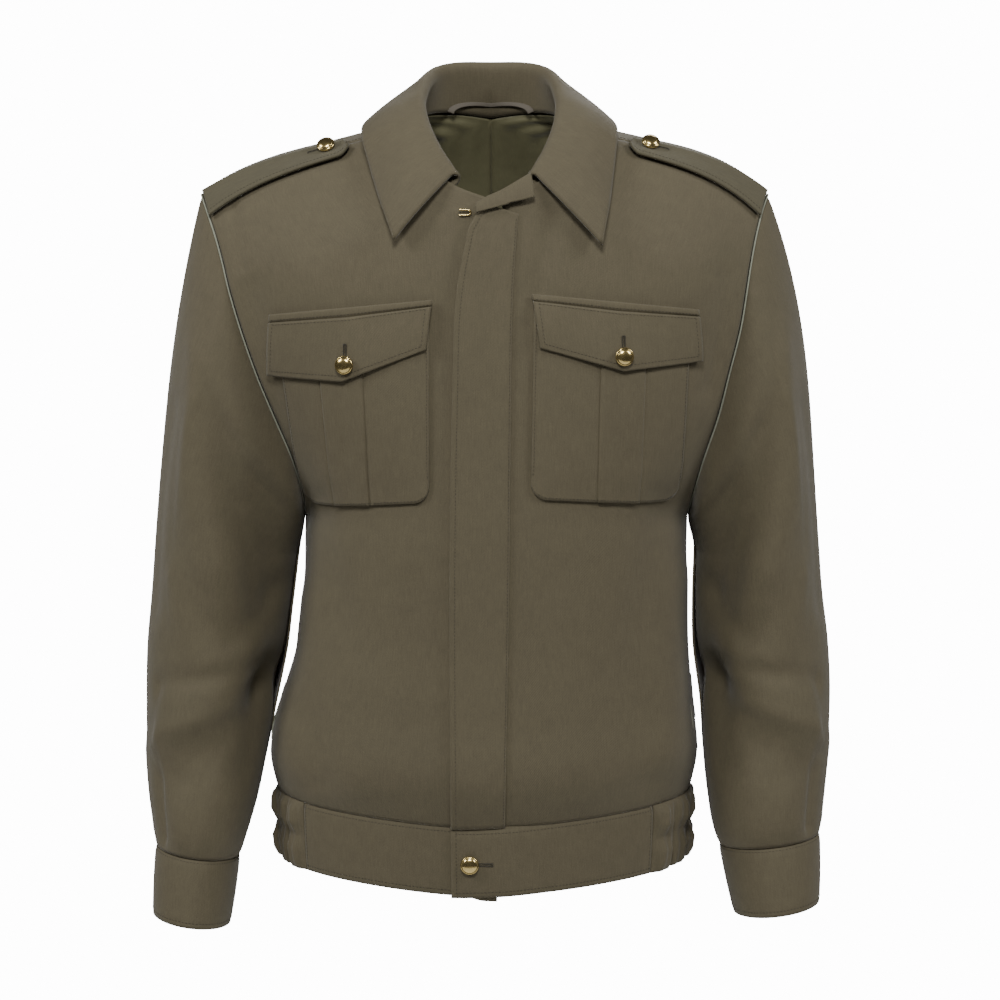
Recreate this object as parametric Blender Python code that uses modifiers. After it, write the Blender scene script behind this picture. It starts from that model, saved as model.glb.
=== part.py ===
"""A filled-out service blouson in wool gabardine, in metres, +Z up, its front facing -Y.

The origin is the centre of the neck opening, level with the shoulders beside the neck, where the wearer
carries the garment. +X is the wearer's left. Every cloth panel is a closed wall lofted through sections.
"""

import math
from collections import namedtuple

import bmesh
import bpy
import numpy as np
from mathutils import Vector

# Cloth and seams
CLOTH = 0.0016
DOUBLED_CLOTH = 0.0024
LINING_CLOTH = 0.0010
SEAM_GAP = 0.0004
LAYER_GAP = 0.0004

# Places along a body panel, from the waist seam at 0 to the shoulder seam at 1
UNDERARM = 0.47
FRONT_NECK = 0.835
COLLAR_END = 0.88
BACK_NECK = 0.92

# Closing at the centre front
LEFT_FRONT_EDGE_X = 0.0140
RIGHT_FRONT_EDGE_X = 0.0080

# Waistband
BAND_HEIGHT = 0.058
BAND_TAPER = 0.985
BAND_LAP = DOUBLED_CLOTH + 0.0006
BAND_JOIN = 0.0012
LAP_FULL_X = 0.0120
LAP_FADE = 0.0450
CLOSING_END_X = -0.0290
UNDERLAP_END_X = 0.0100
ELASTIC_START_LEFT_X = 0.1430
ELASTIC_START_RIGHT_X = -0.1560
ELASTIC_BACK_X = 0.1340
GATHERS = 7
GATHER_DEPTH = 0.0042
ELASTIC_SIDE_SEAM = 0.45

Pinch = namedtuple("Pinch", "down fullness")

# How full the gathers stand at each height of the elastic, with a pinched row at half height
GATHER_ROWS = (
    Pinch(0.00, 0.00),
    Pinch(0.10, 0.80),
    Pinch(0.30, 1.00),
    Pinch(0.50, 0.45),
    Pinch(0.70, 1.00),
    Pinch(0.90, 0.90),
    Pinch(1.00, 0.50),
)

# The left sleeve ends a little higher than the right one
LEFT_SLEEVE_LIFT = 0.010

# Buttons
BUTTON_RADIUS = 0.0078
BUTTON_HEIGHT = 0.0044
SHANK_RADIUS = 0.0020
SHANK_HEIGHT = 0.0012
WAIST_BUTTON_X = -0.0132
BUTTON_SHARE = 0.82

# Grid counts
LOWER_ROWS = np.array([0.0, 0.03, 0.06, 0.10, 0.16, 0.23, 0.31, 0.39, UNDERARM])
BODY_ROWS = len(LOWER_ROWS) - 1
FRONT_CHEST_ROWS = 8
BACK_CHEST_ROWS = 10
NECK_ROWS = 4
PANEL_COLUMNS = 9
HEAD_ROWS = 6
CUFFWARD_ROWS = np.array([0.1, 0.2, 0.3, 0.4, 0.5, 0.6, 0.7, 0.8, 0.88, 0.95, 1.0])
CUFF_ROWS = 2
BAND_ROWS = 2
BACK_BAND_COLUMNS = 14
GATHER_STEPS = 4
PLACKET_COLUMNS = 4
STRAP_ROWS = 10
STRAP_COLUMNS = 6
LOOP_STEPS = 12

# How much flatter the right shoulder lies than the left one
RIGHT_SHOULDER_DROP = 0.009

# Sleeve head and the scale of its folds
HEAD_PULL = 0.36
HEAD_SPREAD_LEFT = 0.20
HEAD_SPREAD_RIGHT = 0.13
SLEEVE_GIRTH = 0.44
SLEEVE_STRETCH = 0.28

# Where the walls of the front and back meet the waistband
WAIST_SEAM_ABOVE = -0.575

Section = namedtuple("Section", "at in_x in_y in_z out_x out_y out_z in_turn out_turn "
                                "in_pull out_pull out_rise in_lean out_lean")

# Half a front: each row runs from the centre or neck edge to the side seam or armhole
FRONT = (
    Section(0.000, 0.000, -0.114, -0.594, 0.1820, 0.006, -0.583, 0, 90, 0.50, 0.34, 0.000, -0.002, -0.002),
    Section(0.060, 0.000, -0.124, -0.562, 0.1875, 0.004, -0.555, 0, 90, 0.50, 0.35, 0.000, -0.002, -0.002),
    Section(0.170, 0.000, -0.122, -0.505, 0.1800, 0.004, -0.503, 0, 90, 0.50, 0.35, 0.000, 0.002, 0.001),
    Section(0.280, 0.000, -0.120, -0.448, 0.1700, 0.004, -0.450, 0, 90, 0.50, 0.35, 0.000, 0.006, 0.006),
    Section(0.380, 0.000, -0.120, -0.394, 0.1670, 0.005, -0.398, 0, 90, 0.50, 0.35, 0.000, 0.008, 0.008),
    Section(0.470, 0.000, -0.120, -0.340, 0.1675, 0.006, -0.345, 0, 88, 0.50, 0.34, 0.000, 0.009, 0.009),
    Section(0.530, 0.000, -0.119, -0.300, 0.1690, -0.028, -0.322, 0, 74, 0.47, 0.33, 0.000, 0.010, 0.0105),
    Section(0.590, 0.000, -0.118, -0.258, 0.1755, -0.046, -0.294, 0, 62, 0.45, 0.33, 0.000, 0.010, 0.0105),
    Section(0.660, 0.000, -0.116, -0.208, 0.1885, -0.056, -0.257, 0, 52, 0.42, 0.33, 0.000, 0.009, 0.0090),
    Section(0.730, 0.000, -0.112, -0.155, 0.2003, -0.060, -0.220, 0, 45, 0.40, 0.33, 0.000, 0.009, 0.0060),
    Section(0.790, 0.000, -0.107, -0.110, 0.2120, -0.059, -0.180, 0, 40, 0.38, 0.33, 0.002, 0.008, 0.0040),
    Section(0.835, 0.000, -0.101, -0.076, 0.2190, -0.055, -0.150, 0, 36, 0.37, 0.33, 0.005, 0.0075, 0.0020),
    Section(0.880, 0.034, -0.092, -0.062, 0.2240, -0.048, -0.127, 5, 30, 0.36, 0.33, 0.010, 0.0070, 0.0010),
    Section(0.920, 0.056, -0.064, -0.042, 0.2300, -0.039, -0.104, 5, 20, 0.34, 0.33, 0.016, 0.0060, 0.0000),
    Section(0.960, 0.068, -0.036, -0.022, 0.2375, -0.026, -0.082, 2, 8, 0.33, 0.33, 0.021, 0.0050, -0.001),
    Section(1.000, 0.074, -0.012, -0.010, 0.2435, -0.012, -0.068, 0, 0, 0.33, 0.33, 0.025, 0.0040, -0.001),
)

# Half the back, row for row like the front
BACK = (
    Section(0.000, 0.000, 0.104, -0.580, 0.1820, 0.006, -0.583, 0, -90, 0.50, 0.34, 0.000, -0.002, -0.002),
    Section(0.060, 0.000, 0.113, -0.550, 0.1875, 0.004, -0.555, 0, -90, 0.50, 0.35, 0.000, -0.002, -0.002),
    Section(0.170, 0.000, 0.108, -0.498, 0.1800, 0.004, -0.503, 0, -90, 0.50, 0.35, 0.000, 0.001, 0.001),
    Section(0.280, 0.000, 0.104, -0.442, 0.1700, 0.004, -0.450, 0, -90, 0.50, 0.35, 0.000, 0.004, 0.006),
    Section(0.380, 0.000, 0.107, -0.386, 0.1670, 0.005, -0.398, 0, -90, 0.50, 0.35, 0.000, 0.005, 0.008),
    Section(0.470, 0.000, 0.114, -0.330, 0.1675, 0.006, -0.345, 0, -88, 0.50, 0.34, 0.000, 0.005, 0.009),
    Section(0.530, 0.000, 0.120, -0.290, 0.1690, 0.038, -0.322, 0, -74, 0.47, 0.33, 0.000, 0.005, 0.0105),
    Section(0.590, 0.000, 0.124, -0.250, 0.1740, 0.054, -0.294, 0, -62, 0.45, 0.33, 0.000, 0.005, 0.0105),
    Section(0.660, 0.000, 0.126, -0.200, 0.1850, 0.066, -0.257, 0, -52, 0.42, 0.33, 0.000, 0.004, 0.0090),
    Section(0.730, 0.000, 0.124, -0.150, 0.1950, 0.071, -0.220, 0, -45, 0.40, 0.33, 0.000, 0.004, 0.0060),
    Section(0.790, 0.000, 0.118, -0.105, 0.2050, 0.070, -0.180, 0, -40, 0.38, 0.33, 0.000, 0.004, 0.0040),
    Section(0.835, 0.000, 0.110, -0.066, 0.2120, 0.065, -0.150, 0, -36, 0.38, 0.33, 0.004, 0.004, 0.0020),
    Section(0.880, 0.000, 0.098, -0.030, 0.2200, 0.056, -0.124, 0, -30, 0.38, 0.33, 0.008, 0.004, 0.0010),
    Section(0.920, 0.000, 0.082, 0.004, 0.2280, 0.042, -0.093, 0, -20, 0.36, 0.33, 0.014, 0.004, 0.0000),
    Section(0.950, 0.040, 0.068, 0.008, 0.2345, 0.026, -0.075, -5, -12, 0.35, 0.33, 0.021, 0.004, 0.0000),
    Section(0.975, 0.062, 0.036, 0.004, 0.2400, 0.008, -0.067, -3, -4, 0.34, 0.33, 0.029, 0.004, -0.001),
    Section(1.000, 0.074, -0.012, -0.010, 0.2435, -0.012, -0.068, 0, 0, 0.33, 0.33, 0.025, 0.0040, -0.001),
)

Ring = namedtuple("Ring", "at z y depth slope right_out right_in left_out left_in")

# Sleeve rings below the underarm: z and y of the middle, half depth, drop of the inner side below the
# outer side, and the outer and inner edge of each sleeve from the centre line
SLEEVE = (
    Ring(0.00, -0.372, 0.012, 0.0760, 0.012, 0.2902, 0.1640, 0.2918, 0.1825),
    Ring(0.17, -0.419, 0.013, 0.0750, 0.012, 0.2940, 0.1700, 0.2955, 0.1815),
    Ring(0.34, -0.464, 0.010, 0.0720, 0.012, 0.2978, 0.1762, 0.3005, 0.1830),
    Ring(0.52, -0.509, 0.003, 0.0680, 0.011, 0.2982, 0.1848, 0.3020, 0.1880),
    Ring(0.68, -0.550, -0.008, 0.0630, 0.010, 0.2965, 0.1925, 0.2995, 0.1900),
    Ring(0.84, -0.591, -0.020, 0.0570, 0.010, 0.2925, 0.2010, 0.2945, 0.1935),
    Ring(0.95, -0.620, -0.029, 0.0500, 0.010, 0.2880, 0.2095, 0.2910, 0.1980),
    Ring(1.00, -0.6340, -0.032, 0.0455, 0.011, 0.2870, 0.2140, 0.2903, 0.2025),
)

CUFF_BOTTOM = Ring(1.00, -0.6905, -0.044, 0.0445, 0.011, 0.2886, 0.2215, 0.2890, 0.2145)

Fold = namedtuple("Fold", "start_turn start_down end_turn end_down depth width")

# Long soft folds of a sleeve: turn is the share of the way round from the underarm over the front, down
# is 0 at the armhole, 1 at the underarm ring and 2 at the cuff; a trough has a negative depth
SLEEVE_FOLDS = (
    Fold(0.36, 0.35, 0.22, 1.05, 0.0045, 0.045),
    Fold(0.24, 0.45, 0.12, 1.10, -0.0060, 0.045),
    Fold(0.10, 1.30, 0.30, 1.60, 0.0055, 0.050),
    Fold(0.06, 1.42, 0.24, 1.74, -0.0055, 0.045),
    Fold(0.66, 0.40, 0.80, 1.05, -0.0060, 0.050),
    Fold(0.90, 1.30, 0.72, 1.62, 0.0050, 0.050),
    Fold(0.34, 1.78, 0.34, 1.97, -0.0045, 0.035),
    Fold(0.62, 1.72, 0.62, 1.97, -0.0045, 0.035),
)

Edge = namedtuple("Edge", "at edge_x seam_x")

# Placket, by height: the closing edge, which swings away towards the neck, and the seam edge
PLACKET = (
    Edge(-0.5920, -0.0290, 0.0165),
    Edge(-0.3960, -0.0296, 0.0200),
    Edge(-0.2400, -0.0272, 0.0215),
    Edge(-0.1710, -0.0248, 0.0225),
    Edge(-0.1230, -0.0174, 0.0245),
    Edge(-0.1000, -0.0115, 0.0262),
    Edge(-0.0870, -0.0020, 0.0270),
    Edge(-0.0790, 0.0140, 0.0275),
)

PLACKET_SWING_UP = 0.70
PLACKET_TOP_UP = 0.828
PLACKET_FOOT_UP = 0.0025
PLACKET_SWING_ROWS = 6

Leaf = namedtuple("Leaf", "at roll_x roll_y roll_z leaf_across leaf_up stand_off bulge")

# Collar along the neck edge of the front and of the back: the roll line, and where on the body panel the
# edge of the fall lies
COLLAR_FRONT = (
    Leaf(0.88, 0.0320, -0.0885, -0.0540, 0.345, 0.822, 0.0060, 0.004),
    Leaf(0.92, 0.0465, -0.0640, -0.0290, 0.268, 0.895, 0.0055, 0.005),
    Leaf(0.96, 0.0555, -0.0370, -0.0070, 0.220, 0.950, 0.0060, 0.005),
    Leaf(1.00, 0.0600, -0.0100, 0.0130, 0.188, 1.000, 0.0065, 0.0035),
)
COLLAR_BACK = (
    Leaf(0.92, 0.0000, 0.0745, 0.0508, 0.000, 0.865, 0.0045, 0.003),
    Leaf(0.94, 0.0300, 0.0670, 0.0500, 0.175, 0.884, 0.0060, 0.003),
    Leaf(0.96, 0.0480, 0.0520, 0.0445, 0.226, 0.930, 0.0070, 0.002),
    Leaf(0.98, 0.0565, 0.0250, 0.0325, 0.200, 0.970, 0.0070, 0.002),
    Leaf(1.00, 0.0600, -0.0100, 0.0130, 0.188, 1.000, 0.0065, 0.0035),
)
ROLL_RADIUS = 0.0022

Pocket = namedtuple("Pocket", "side in_top_x in_top_z out_top_x out_top_z in_low_x in_low_z out_low_x "
                              "out_low_z pleat_in_x pleat_out_x")
POCKETS = (
    Pocket(1, 0.0405, -0.1630, 0.1705, -0.1760, 0.0380, -0.3220, 0.1640, -0.3290, 0.0965, 0.1335),
    Pocket(-1, -0.0465, -0.1680, -0.1745, -0.1810, -0.0465, -0.3250, -0.1560, -0.3325, -0.1035, -0.1405),
)
POCKET_CORNER = 0.014
POCKET_CORNER_FROM = 0.75
POCKET_GAP = 0.0007
PLEAT_STEP = 0.0012
PLEAT_EDGE = 0.0006

Flap = namedtuple("Flap", "side in_top_x in_top_z out_top_x out_top_z in_low_x in_low_z tip_x tip_z "
                          "out_low_x out_low_z button_x button_z")
FLAPS = (
    Flap(1, 0.0385, -0.1530, 0.1765, -0.1660, 0.0450, -0.1975, 0.1130, -0.2165, 0.1800, -0.2085,
         0.1128, -0.2047),
    Flap(-1, -0.0435, -0.1580, -0.1795, -0.1700, -0.0485, -0.1990, -0.1166, -0.2250, -0.1825, -0.2205,
         -0.1141, -0.2113),
)
WELT_SHARE = 0.13
WELT_OUT = 0.0042
FLAP_OUT = 0.0052
TIP_LIFT = 0.0030

# Shoulder strap, across the shoulder seam
STRAP_INNER = 0.290
STRAP_OUTER = 0.988
STRAP_HALF_WIDTH = 0.0240
STRAP_END_HALF_WIDTH = 0.0200
STRAP_ROUND = 0.10
STRAP_BLUNT = 0.90
STRAP_OFF = 0.0010
STRAP_EDGE_LIFT = 0.0015
STRAP_BUTTON = 0.385

# Loop and hook at the neck
LOOP_HALF_SPAN = 0.0355
LOOP_HEIGHT = 0.0115
LOOP_WIDTH = 0.0055
LOOP_FOOT = -0.0010
LOOP_SLACK = 0.0020
LOOP_INWARD = 0.0040
LOOP_END_INWARD = 0.0026
LOOP_ROUNDNESS = 0.6
LOOP_TILT = 0.0020
HOOK_X = -0.0165
HOOK_Z = -0.0860
HOOK_WIRE = 0.0007
HOOK_OFF = 0.0003
HOOK_SPRING = 0.15

Bend = namedtuple("Bend", "x z")
HOOK_OUTLINE = (
    Bend(-0.0050, -0.0022),
    Bend(0.0030, -0.0022),
    Bend(0.0044, -0.0012),
    Bend(0.0048, 0.0000),
    Bend(0.0044, 0.0012),
    Bend(0.0030, 0.0022),
    Bend(-0.0050, 0.0022),
)

# Back lining
LINING_GAP = 0.0014
LINING_REACH = 0.90
LINING_BOTTOM = 0.002
LINING_TOP = 0.908

OLIVE = (0.150, 0.130, 0.088)
OLIVE_DARK = (0.110, 0.095, 0.062)
SATIN = (0.060, 0.062, 0.036)
BRASS = (0.80, 0.62, 0.26)


def clear_scene():
    for item in list(bpy.data.objects):
        bpy.data.objects.remove(item, do_unlink=True)


def make_material(name, colour, roughness, metallic=0.0):
    material = bpy.data.materials.new(name)
    material.use_nodes = True
    shader = material.node_tree.nodes["Principled BSDF"]
    shader.inputs["Base Color"].default_value = (*colour, 1.0)
    shader.inputs["Roughness"].default_value = roughness
    shader.inputs["Metallic"].default_value = metallic
    material.diffuse_color = (*colour, 1.0)
    return material


def read(table, name, at, corner=None):
    """One named column of a table, read smoothly along its first column, with a corner if one is given."""
    at = np.asarray(at, float)
    places = np.array([row.at for row in table])
    values = np.array([getattr(row, name) for row in table], float)
    steps = np.diff(places)
    straight = np.diff(values) / steps
    smooth = np.gradient(values, places)
    leave = smooth[:-1].copy()
    arrive = smooth[1:].copy()
    if corner is not None:
        k = int(np.argmin(np.abs(places - corner)))
        arrive[k - 1] = straight[k - 1]
        leave[k] = straight[k]
    k = np.clip(np.searchsorted(places, at, side="right") - 1, 0, len(steps) - 1)
    u = (at - places[k]) / steps[k]
    return ((1 + 2 * u) * (1 - u) ** 2 * values[k] + u * (1 - u) ** 2 * steps[k] * leave[k]
            + u * u * (3 - 2 * u) * values[k + 1] + u * u * (u - 1) * steps[k] * arrive[k])


def unit(vectors):
    return vectors / np.maximum(np.linalg.norm(vectors, axis=-1, keepdims=True), 1e-12)


def smooth_step(value):
    value = np.clip(value, 0.0, 1.0)
    return value * value * (3 - 2 * value)


def body_point(table, side, across, up):
    """A point of half a body panel: across runs from the centre to the side, up from waist to shoulder."""
    across, up = np.broadcast_arrays(np.asarray(across, float), np.asarray(up, float))
    neck = FRONT_NECK if table is FRONT else BACK_NECK
    inner = np.stack([read(table, "in_" + c, up, neck) for c in "xyz"], axis=-1)
    outer = np.stack([read(table, "out_" + c, up, UNDERARM) for c in "xyz"], axis=-1)
    chord = np.hypot(outer[..., 0] - inner[..., 0], outer[..., 1] - inner[..., 1])
    in_turn = np.radians(read(table, "in_turn", up))
    out_turn = np.radians(read(table, "out_turn", up))
    in_reach = read(table, "in_pull", up) * chord
    out_reach = read(table, "out_pull", up) * chord
    third = (outer[..., 2] - inner[..., 2]) / 3
    leave = inner + np.stack([np.cos(in_turn) * in_reach, np.sin(in_turn) * in_reach, third], axis=-1)
    rise = read(table, "out_rise", up)
    if side < 0:
        rise = rise - RIGHT_SHOULDER_DROP * smooth_step((up - 0.84) / 0.16)
    arrive = outer - np.stack([np.cos(out_turn) * out_reach, np.sin(out_turn) * out_reach, third - rise], -1)
    s = across[..., None]
    point = (1 - s) ** 3 * inner + 3 * (1 - s) ** 2 * s * leave + 3 * (1 - s) * s * s * arrive + s ** 3 * outer
    lean = read(table, "in_lean", up) * (1 - across) + read(table, "out_lean", up) * across
    point[..., 0] = side * point[..., 0] + lean
    return point


def body_normal(table, side, across, up):
    """The outward normal of a body panel."""
    step = 1e-4
    along = body_point(table, side, across + step, up) - body_point(table, side, across - step, up)
    rising = body_point(table, side, across, up + step) - body_point(table, side, across, up - step)
    outward = side if table is FRONT else -side
    return unit(np.cross(along, rising)) * outward


def body_offset(table, side, across, up, out):
    """A point of a body panel, moved out along its normal."""
    across, up = np.broadcast_arrays(np.asarray(across, float), np.asarray(up, float))
    return body_point(table, side, across, up) + body_normal(table, side, across, up) * np.asarray(out)[..., None]


def find_on_front(side, x, z):
    """The across and up of the points of a front that lie at x and z in the front view."""
    x, z = np.broadcast_arrays(np.asarray(x, float), np.asarray(z, float))
    across = np.clip(side * x / 0.2, -0.1, 0.9)
    up = np.clip((z + 0.594) / 0.594, 0.02, 0.9)
    step = 1e-4
    for _ in range(25):
        here = body_point(FRONT, side, across, up)
        along = (body_point(FRONT, side, across + step, up) - here) / step
        rising = (body_point(FRONT, side, across, up + step) - here) / step
        miss_x = x - here[..., 0]
        miss_z = z - here[..., 2]
        spread = along[..., 0] * rising[..., 2] - rising[..., 0] * along[..., 2]
        across = across + np.clip((miss_x * rising[..., 2] - rising[..., 0] * miss_z) / spread, -0.15, 0.15)
        up = up + np.clip((along[..., 0] * miss_z - miss_x * along[..., 2]) / spread, -0.15, 0.15)
        across = np.clip(across, -0.35, 1.0)
        up = np.clip(up, 0.0, 1.0)
    return across, up


def across_at_x(table, side, x, up):
    """Where a row of a panel passes a given x."""
    up = np.asarray(up, float)
    low = np.full(up.shape, -0.35)
    high = np.full(up.shape, 1.0)
    for _ in range(40):
        middle = (low + high) / 2
        short = side * (body_point(table, side, middle, up)[..., 0] - x) < 0
        low = np.where(short, middle, low)
        high = np.where(short, high, middle)
    return (low + high) / 2


def front_rows():
    """The rows of a front, with one at the neck corner and one at the end of the collar."""
    beside = np.linspace(UNDERARM, FRONT_NECK, FRONT_CHEST_ROWS + 1)
    tab = [(FRONT_NECK + COLLAR_END) / 2]
    neck = np.linspace(COLLAR_END, 1.0, NECK_ROWS + 1)
    return np.concatenate([LOWER_ROWS, beside[1:], tab, neck])


def back_rows():
    """The rows of the back, with one at the neck."""
    beside = np.linspace(UNDERARM, BACK_NECK, BACK_CHEST_ROWS + 1)
    neck = np.linspace(BACK_NECK, 1.0, NECK_ROWS + 1)
    return np.concatenate([LOWER_ROWS, beside[1:], neck[1:]])


def front_grid(side, edge_x):
    up = front_rows()
    start = across_at_x(FRONT, side, edge_x, up)
    fading = np.clip((COLLAR_END - up) / (COLLAR_END - FRONT_NECK), 0.0, 1.0)
    lap = across_at_x(FRONT, side, edge_x, np.array([FRONT_NECK]))[0]
    start = np.where(up > FRONT_NECK, lap * fading, start)
    share = np.linspace(0.0, 1.0, PANEL_COLUMNS + 1)
    across = start[:, None] + (1 - start[:, None]) * share[None, :]
    return body_point(FRONT, side, across, up[:, None])


def back_grid(side):
    share = np.linspace(0.0, 1.0, PANEL_COLUMNS + 1)
    return body_point(BACK, side, share[None, :], back_rows()[:, None])


def armhole_up(turn):
    """The table and the place up its armhole edge for a share of the way round from the underarm."""
    front_places = front_rows()[BODY_ROWS:]
    back_places = back_rows()[BODY_ROWS:]
    steps = np.linspace(0.0, 0.5, len(front_places))
    front_up = np.interp(turn, steps, front_places)
    back_up = np.interp(1.0 - turn, steps, back_places)
    return front_up, back_up


def armhole_point(side, turn):
    front_up, back_up = armhole_up(turn)
    front_edge = body_point(FRONT, side, 1.0, front_up)
    back_edge = body_point(BACK, side, 1.0, back_up)
    return np.where((turn <= 0.5)[..., None], front_edge, back_edge)


def armhole_angle(side, turn):
    """The angle round the sleeve that a place on the armhole leads to, by its length along the seam."""
    places = np.linspace(0.0, 1.0, 201)
    edge = armhole_point(side, places)
    lengths = np.concatenate([[0.0], np.cumsum(np.linalg.norm(np.diff(edge, axis=0), axis=1))])
    half = lengths[100]
    angles = np.where(lengths <= half, lengths / half, 1 + (lengths - half) / (lengths[-1] - half)) * math.pi
    return np.interp(turn, places, angles)


def ring_point(side, angle, at):
    """A point of a sleeve ring: angle 0 is the side towards the body, a quarter turn is the front."""
    outer_name, inner_name = ("left_out", "left_in") if side > 0 else ("right_out", "right_in")
    outer = read(SLEEVE, outer_name, at)
    inner = read(SLEEVE, inner_name, at)
    lift = LEFT_SLEEVE_LIFT * np.clip(at, 0.0, 1.0) if side > 0 else 0.0
    x = (outer + inner) / 2 - (outer - inner) / 2 * np.cos(angle)
    y = read(SLEEVE, "y", at) - read(SLEEVE, "depth", at) * np.sin(angle)
    z = read(SLEEVE, "z", at) + lift - read(SLEEVE, "slope", at) / 2 * np.cos(angle)
    return np.stack([side * x, y, z], axis=-1)


def fold_height(folds, turn, down):
    """How far the long folds of a sleeve stand out at a place."""
    height = np.zeros(np.broadcast(turn, down).shape)
    for fold in folds:
        start = np.array([fold.start_turn * SLEEVE_GIRTH, fold.start_down * SLEEVE_STRETCH])
        run = np.array([fold.end_turn * SLEEVE_GIRTH, fold.end_down * SLEEVE_STRETCH]) - start
        round_way = turn * SLEEVE_GIRTH - start[0]
        down_way = down * SLEEVE_STRETCH - start[1]
        share = np.clip((round_way * run[0] + down_way * run[1]) / (run @ run), 0.0, 1.0)
        away = np.hypot(round_way - share * run[0], down_way - share * run[1])
        height = height + fold.depth * np.exp(-(2 * away / fold.width) ** 2)
    return height


def sleeve_point(side, turn, down):
    """A point of a sleeve: down is 0 at the armhole, 1 at the ring below the underarm and 2 at the cuff."""
    turn, down = np.broadcast_arrays(np.asarray(turn, float), np.asarray(down, float))
    angle = armhole_angle(side, turn)
    seam = armhole_point(side, turn)
    first = ring_point(side, angle, np.zeros_like(turn))
    next_ring = ring_point(side, angle, np.full_like(turn, 0.04))
    reach = HEAD_PULL * np.linalg.norm(first - seam, axis=-1, keepdims=True)
    spread = HEAD_SPREAD_LEFT if side > 0 else HEAD_SPREAD_RIGHT
    leave = unit(np.stack([side * spread * (1 - 0.8 * np.cos(angle)), -0.35 * np.sin(angle),
                           np.full_like(angle, -0.92)], axis=-1))
    s = np.clip(down, 0.0, 1.0)[..., None]
    head = ((1 - s) ** 3 * seam + 3 * (1 - s) ** 2 * s * (seam + leave * reach)
            + 3 * (1 - s) * s * s * (first - unit(next_ring - first) * reach) + s ** 3 * first)
    tube = ring_point(side, angle, np.clip(down - 1.0, 0.0, 1.0))
    point = np.where((down <= 1.0)[..., None], head, tube)
    fade = smooth_step(down / 0.35) * smooth_step((2.0 - down) / 0.05)
    height = fold_height(SLEEVE_FOLDS, turn, down) * fade
    outward = np.stack([-side * np.cos(angle), -np.sin(angle), np.zeros_like(angle)], axis=-1)
    return point + outward * height[..., None]


def sleeve_turns():
    half = np.linspace(0.0, 0.5, len(front_rows()) - BODY_ROWS)
    return np.concatenate([half, 0.5 + half[1:-1]])


def sleeve_grid(side):
    down = np.concatenate([np.linspace(0.0, 1.0, HEAD_ROWS + 1), 1.0 + CUFFWARD_ROWS])
    return sleeve_point(side, sleeve_turns()[None, :], down[:, None])


def cuff_point(side, turn, down):
    angle = armhole_angle(side, turn)
    top = ring_point(side, angle, np.ones_like(angle))
    lift = LEFT_SLEEVE_LIFT if side > 0 else 0.0
    ends = CUFF_BOTTOM
    outer, inner = (ends.left_out, ends.left_in) if side > 0 else (ends.right_out, ends.right_in)
    x = (outer + inner) / 2 - (outer - inner) / 2 * np.cos(angle)
    y = ends.y - ends.depth * np.sin(angle)
    z = ends.z + lift - ends.slope / 2 * np.cos(angle)
    bottom = np.stack([side * x, y, z], axis=-1)
    return top + (bottom - top) * np.asarray(down)[..., None]


def cuff_grid(side):
    turn, down = np.meshgrid(sleeve_turns(), np.linspace(0.0, 1.0, CUFF_ROWS + 1))
    return cuff_point(side, turn, down)


def collar_section(table, side, up):
    """The points of one section of the collar, from the neck seam over the roll to the edge of the fall."""
    leaf_table = COLLAR_FRONT if table is FRONT else COLLAR_BACK
    lean = read(table, "in_lean", up)
    base = body_point(table, side, 0.0, up)
    roll = np.array([side * read(leaf_table, "roll_x", up) + lean, read(leaf_table, "roll_y", up),
                     read(leaf_table, "roll_z", up)])
    across = read(leaf_table, "leaf_across", up)
    leaf_up = read(leaf_table, "leaf_up", up)
    away = body_normal(table, side, across, leaf_up)
    if up > 0.999:
        away = unit(body_normal(FRONT, side, across, 1.0) + body_normal(BACK, side, across, 1.0))
    edge = body_point(table, side, across, leaf_up) + away * read(leaf_table, "stand_off", up)
    rising = unit(roll - base)
    spread = edge - roll
    spread = unit(spread - rising * (spread @ rising))
    centre = roll - rising * (ROLL_RADIUS + DOUBLED_CLOTH)
    turns = np.linspace(math.pi, 0.0, 5)
    arc = [centre + (spread * math.cos(t) + rising * math.sin(t)) * ROLL_RADIUS for t in turns]
    stand = [base, base + (arc[0] - base) / 2]
    bulge = away * read(leaf_table, "bulge", up)
    fall = [arc[-1] + (edge - arc[-1]) * s + bulge * 4 * s * (1 - s) for s in (0.33, 0.67, 1.0)]
    return np.array(stand + arc + fall)


def collar_grid():
    """The collar from its right front end round the back of the neck to its left front end."""
    front_up = np.linspace(COLLAR_END, 1.0, NECK_ROWS + 1)
    back_up = np.linspace(1.0, BACK_NECK, NECK_ROWS + 1)
    sections = [collar_section(FRONT, -1, up) for up in front_up]
    sections += [collar_section(BACK, -1, up) for up in back_up[1:]]
    sections += [collar_section(BACK, 1, up) for up in back_up[-2::-1]]
    sections += [collar_section(FRONT, 1, up) for up in front_up[-2::-1]]
    return np.array(sections).transpose(1, 0, 2)


class Patch:
    """A grid of points on the outside of a panel; flipped says that its faces are listed the other way."""

    def __init__(self, points, flipped=False, ring=False):
        self.points = points
        self.flipped = flipped
        self.ring = ring

    def faces(self):
        rows, columns = self.points.shape[:2]
        last = columns if self.ring else columns - 1
        for i in range(rows - 1):
            for j in range(last):
                k = (j + 1) % columns
                corners = [(i, j), (i, k), (i + 1, k), (i + 1, j)]
                yield corners[::-1] if self.flipped else corners


def key(point):
    return tuple(int(round(c * 1e6)) for c in point)


def shared_normals(patches):
    """The outward direction at each point, shared by every panel that meets there."""
    totals = {}
    for patch in patches:
        for corners in patch.faces():
            a, b, c, d = [patch.points[i, j] for i, j in corners]
            normal = np.cross(c - a, d - b)
            for point in (a, b, c, d):
                totals[key(point)] = totals.get(key(point), np.zeros(3)) + normal
    return {place: unit(total) for place, total in totals.items()}


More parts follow.
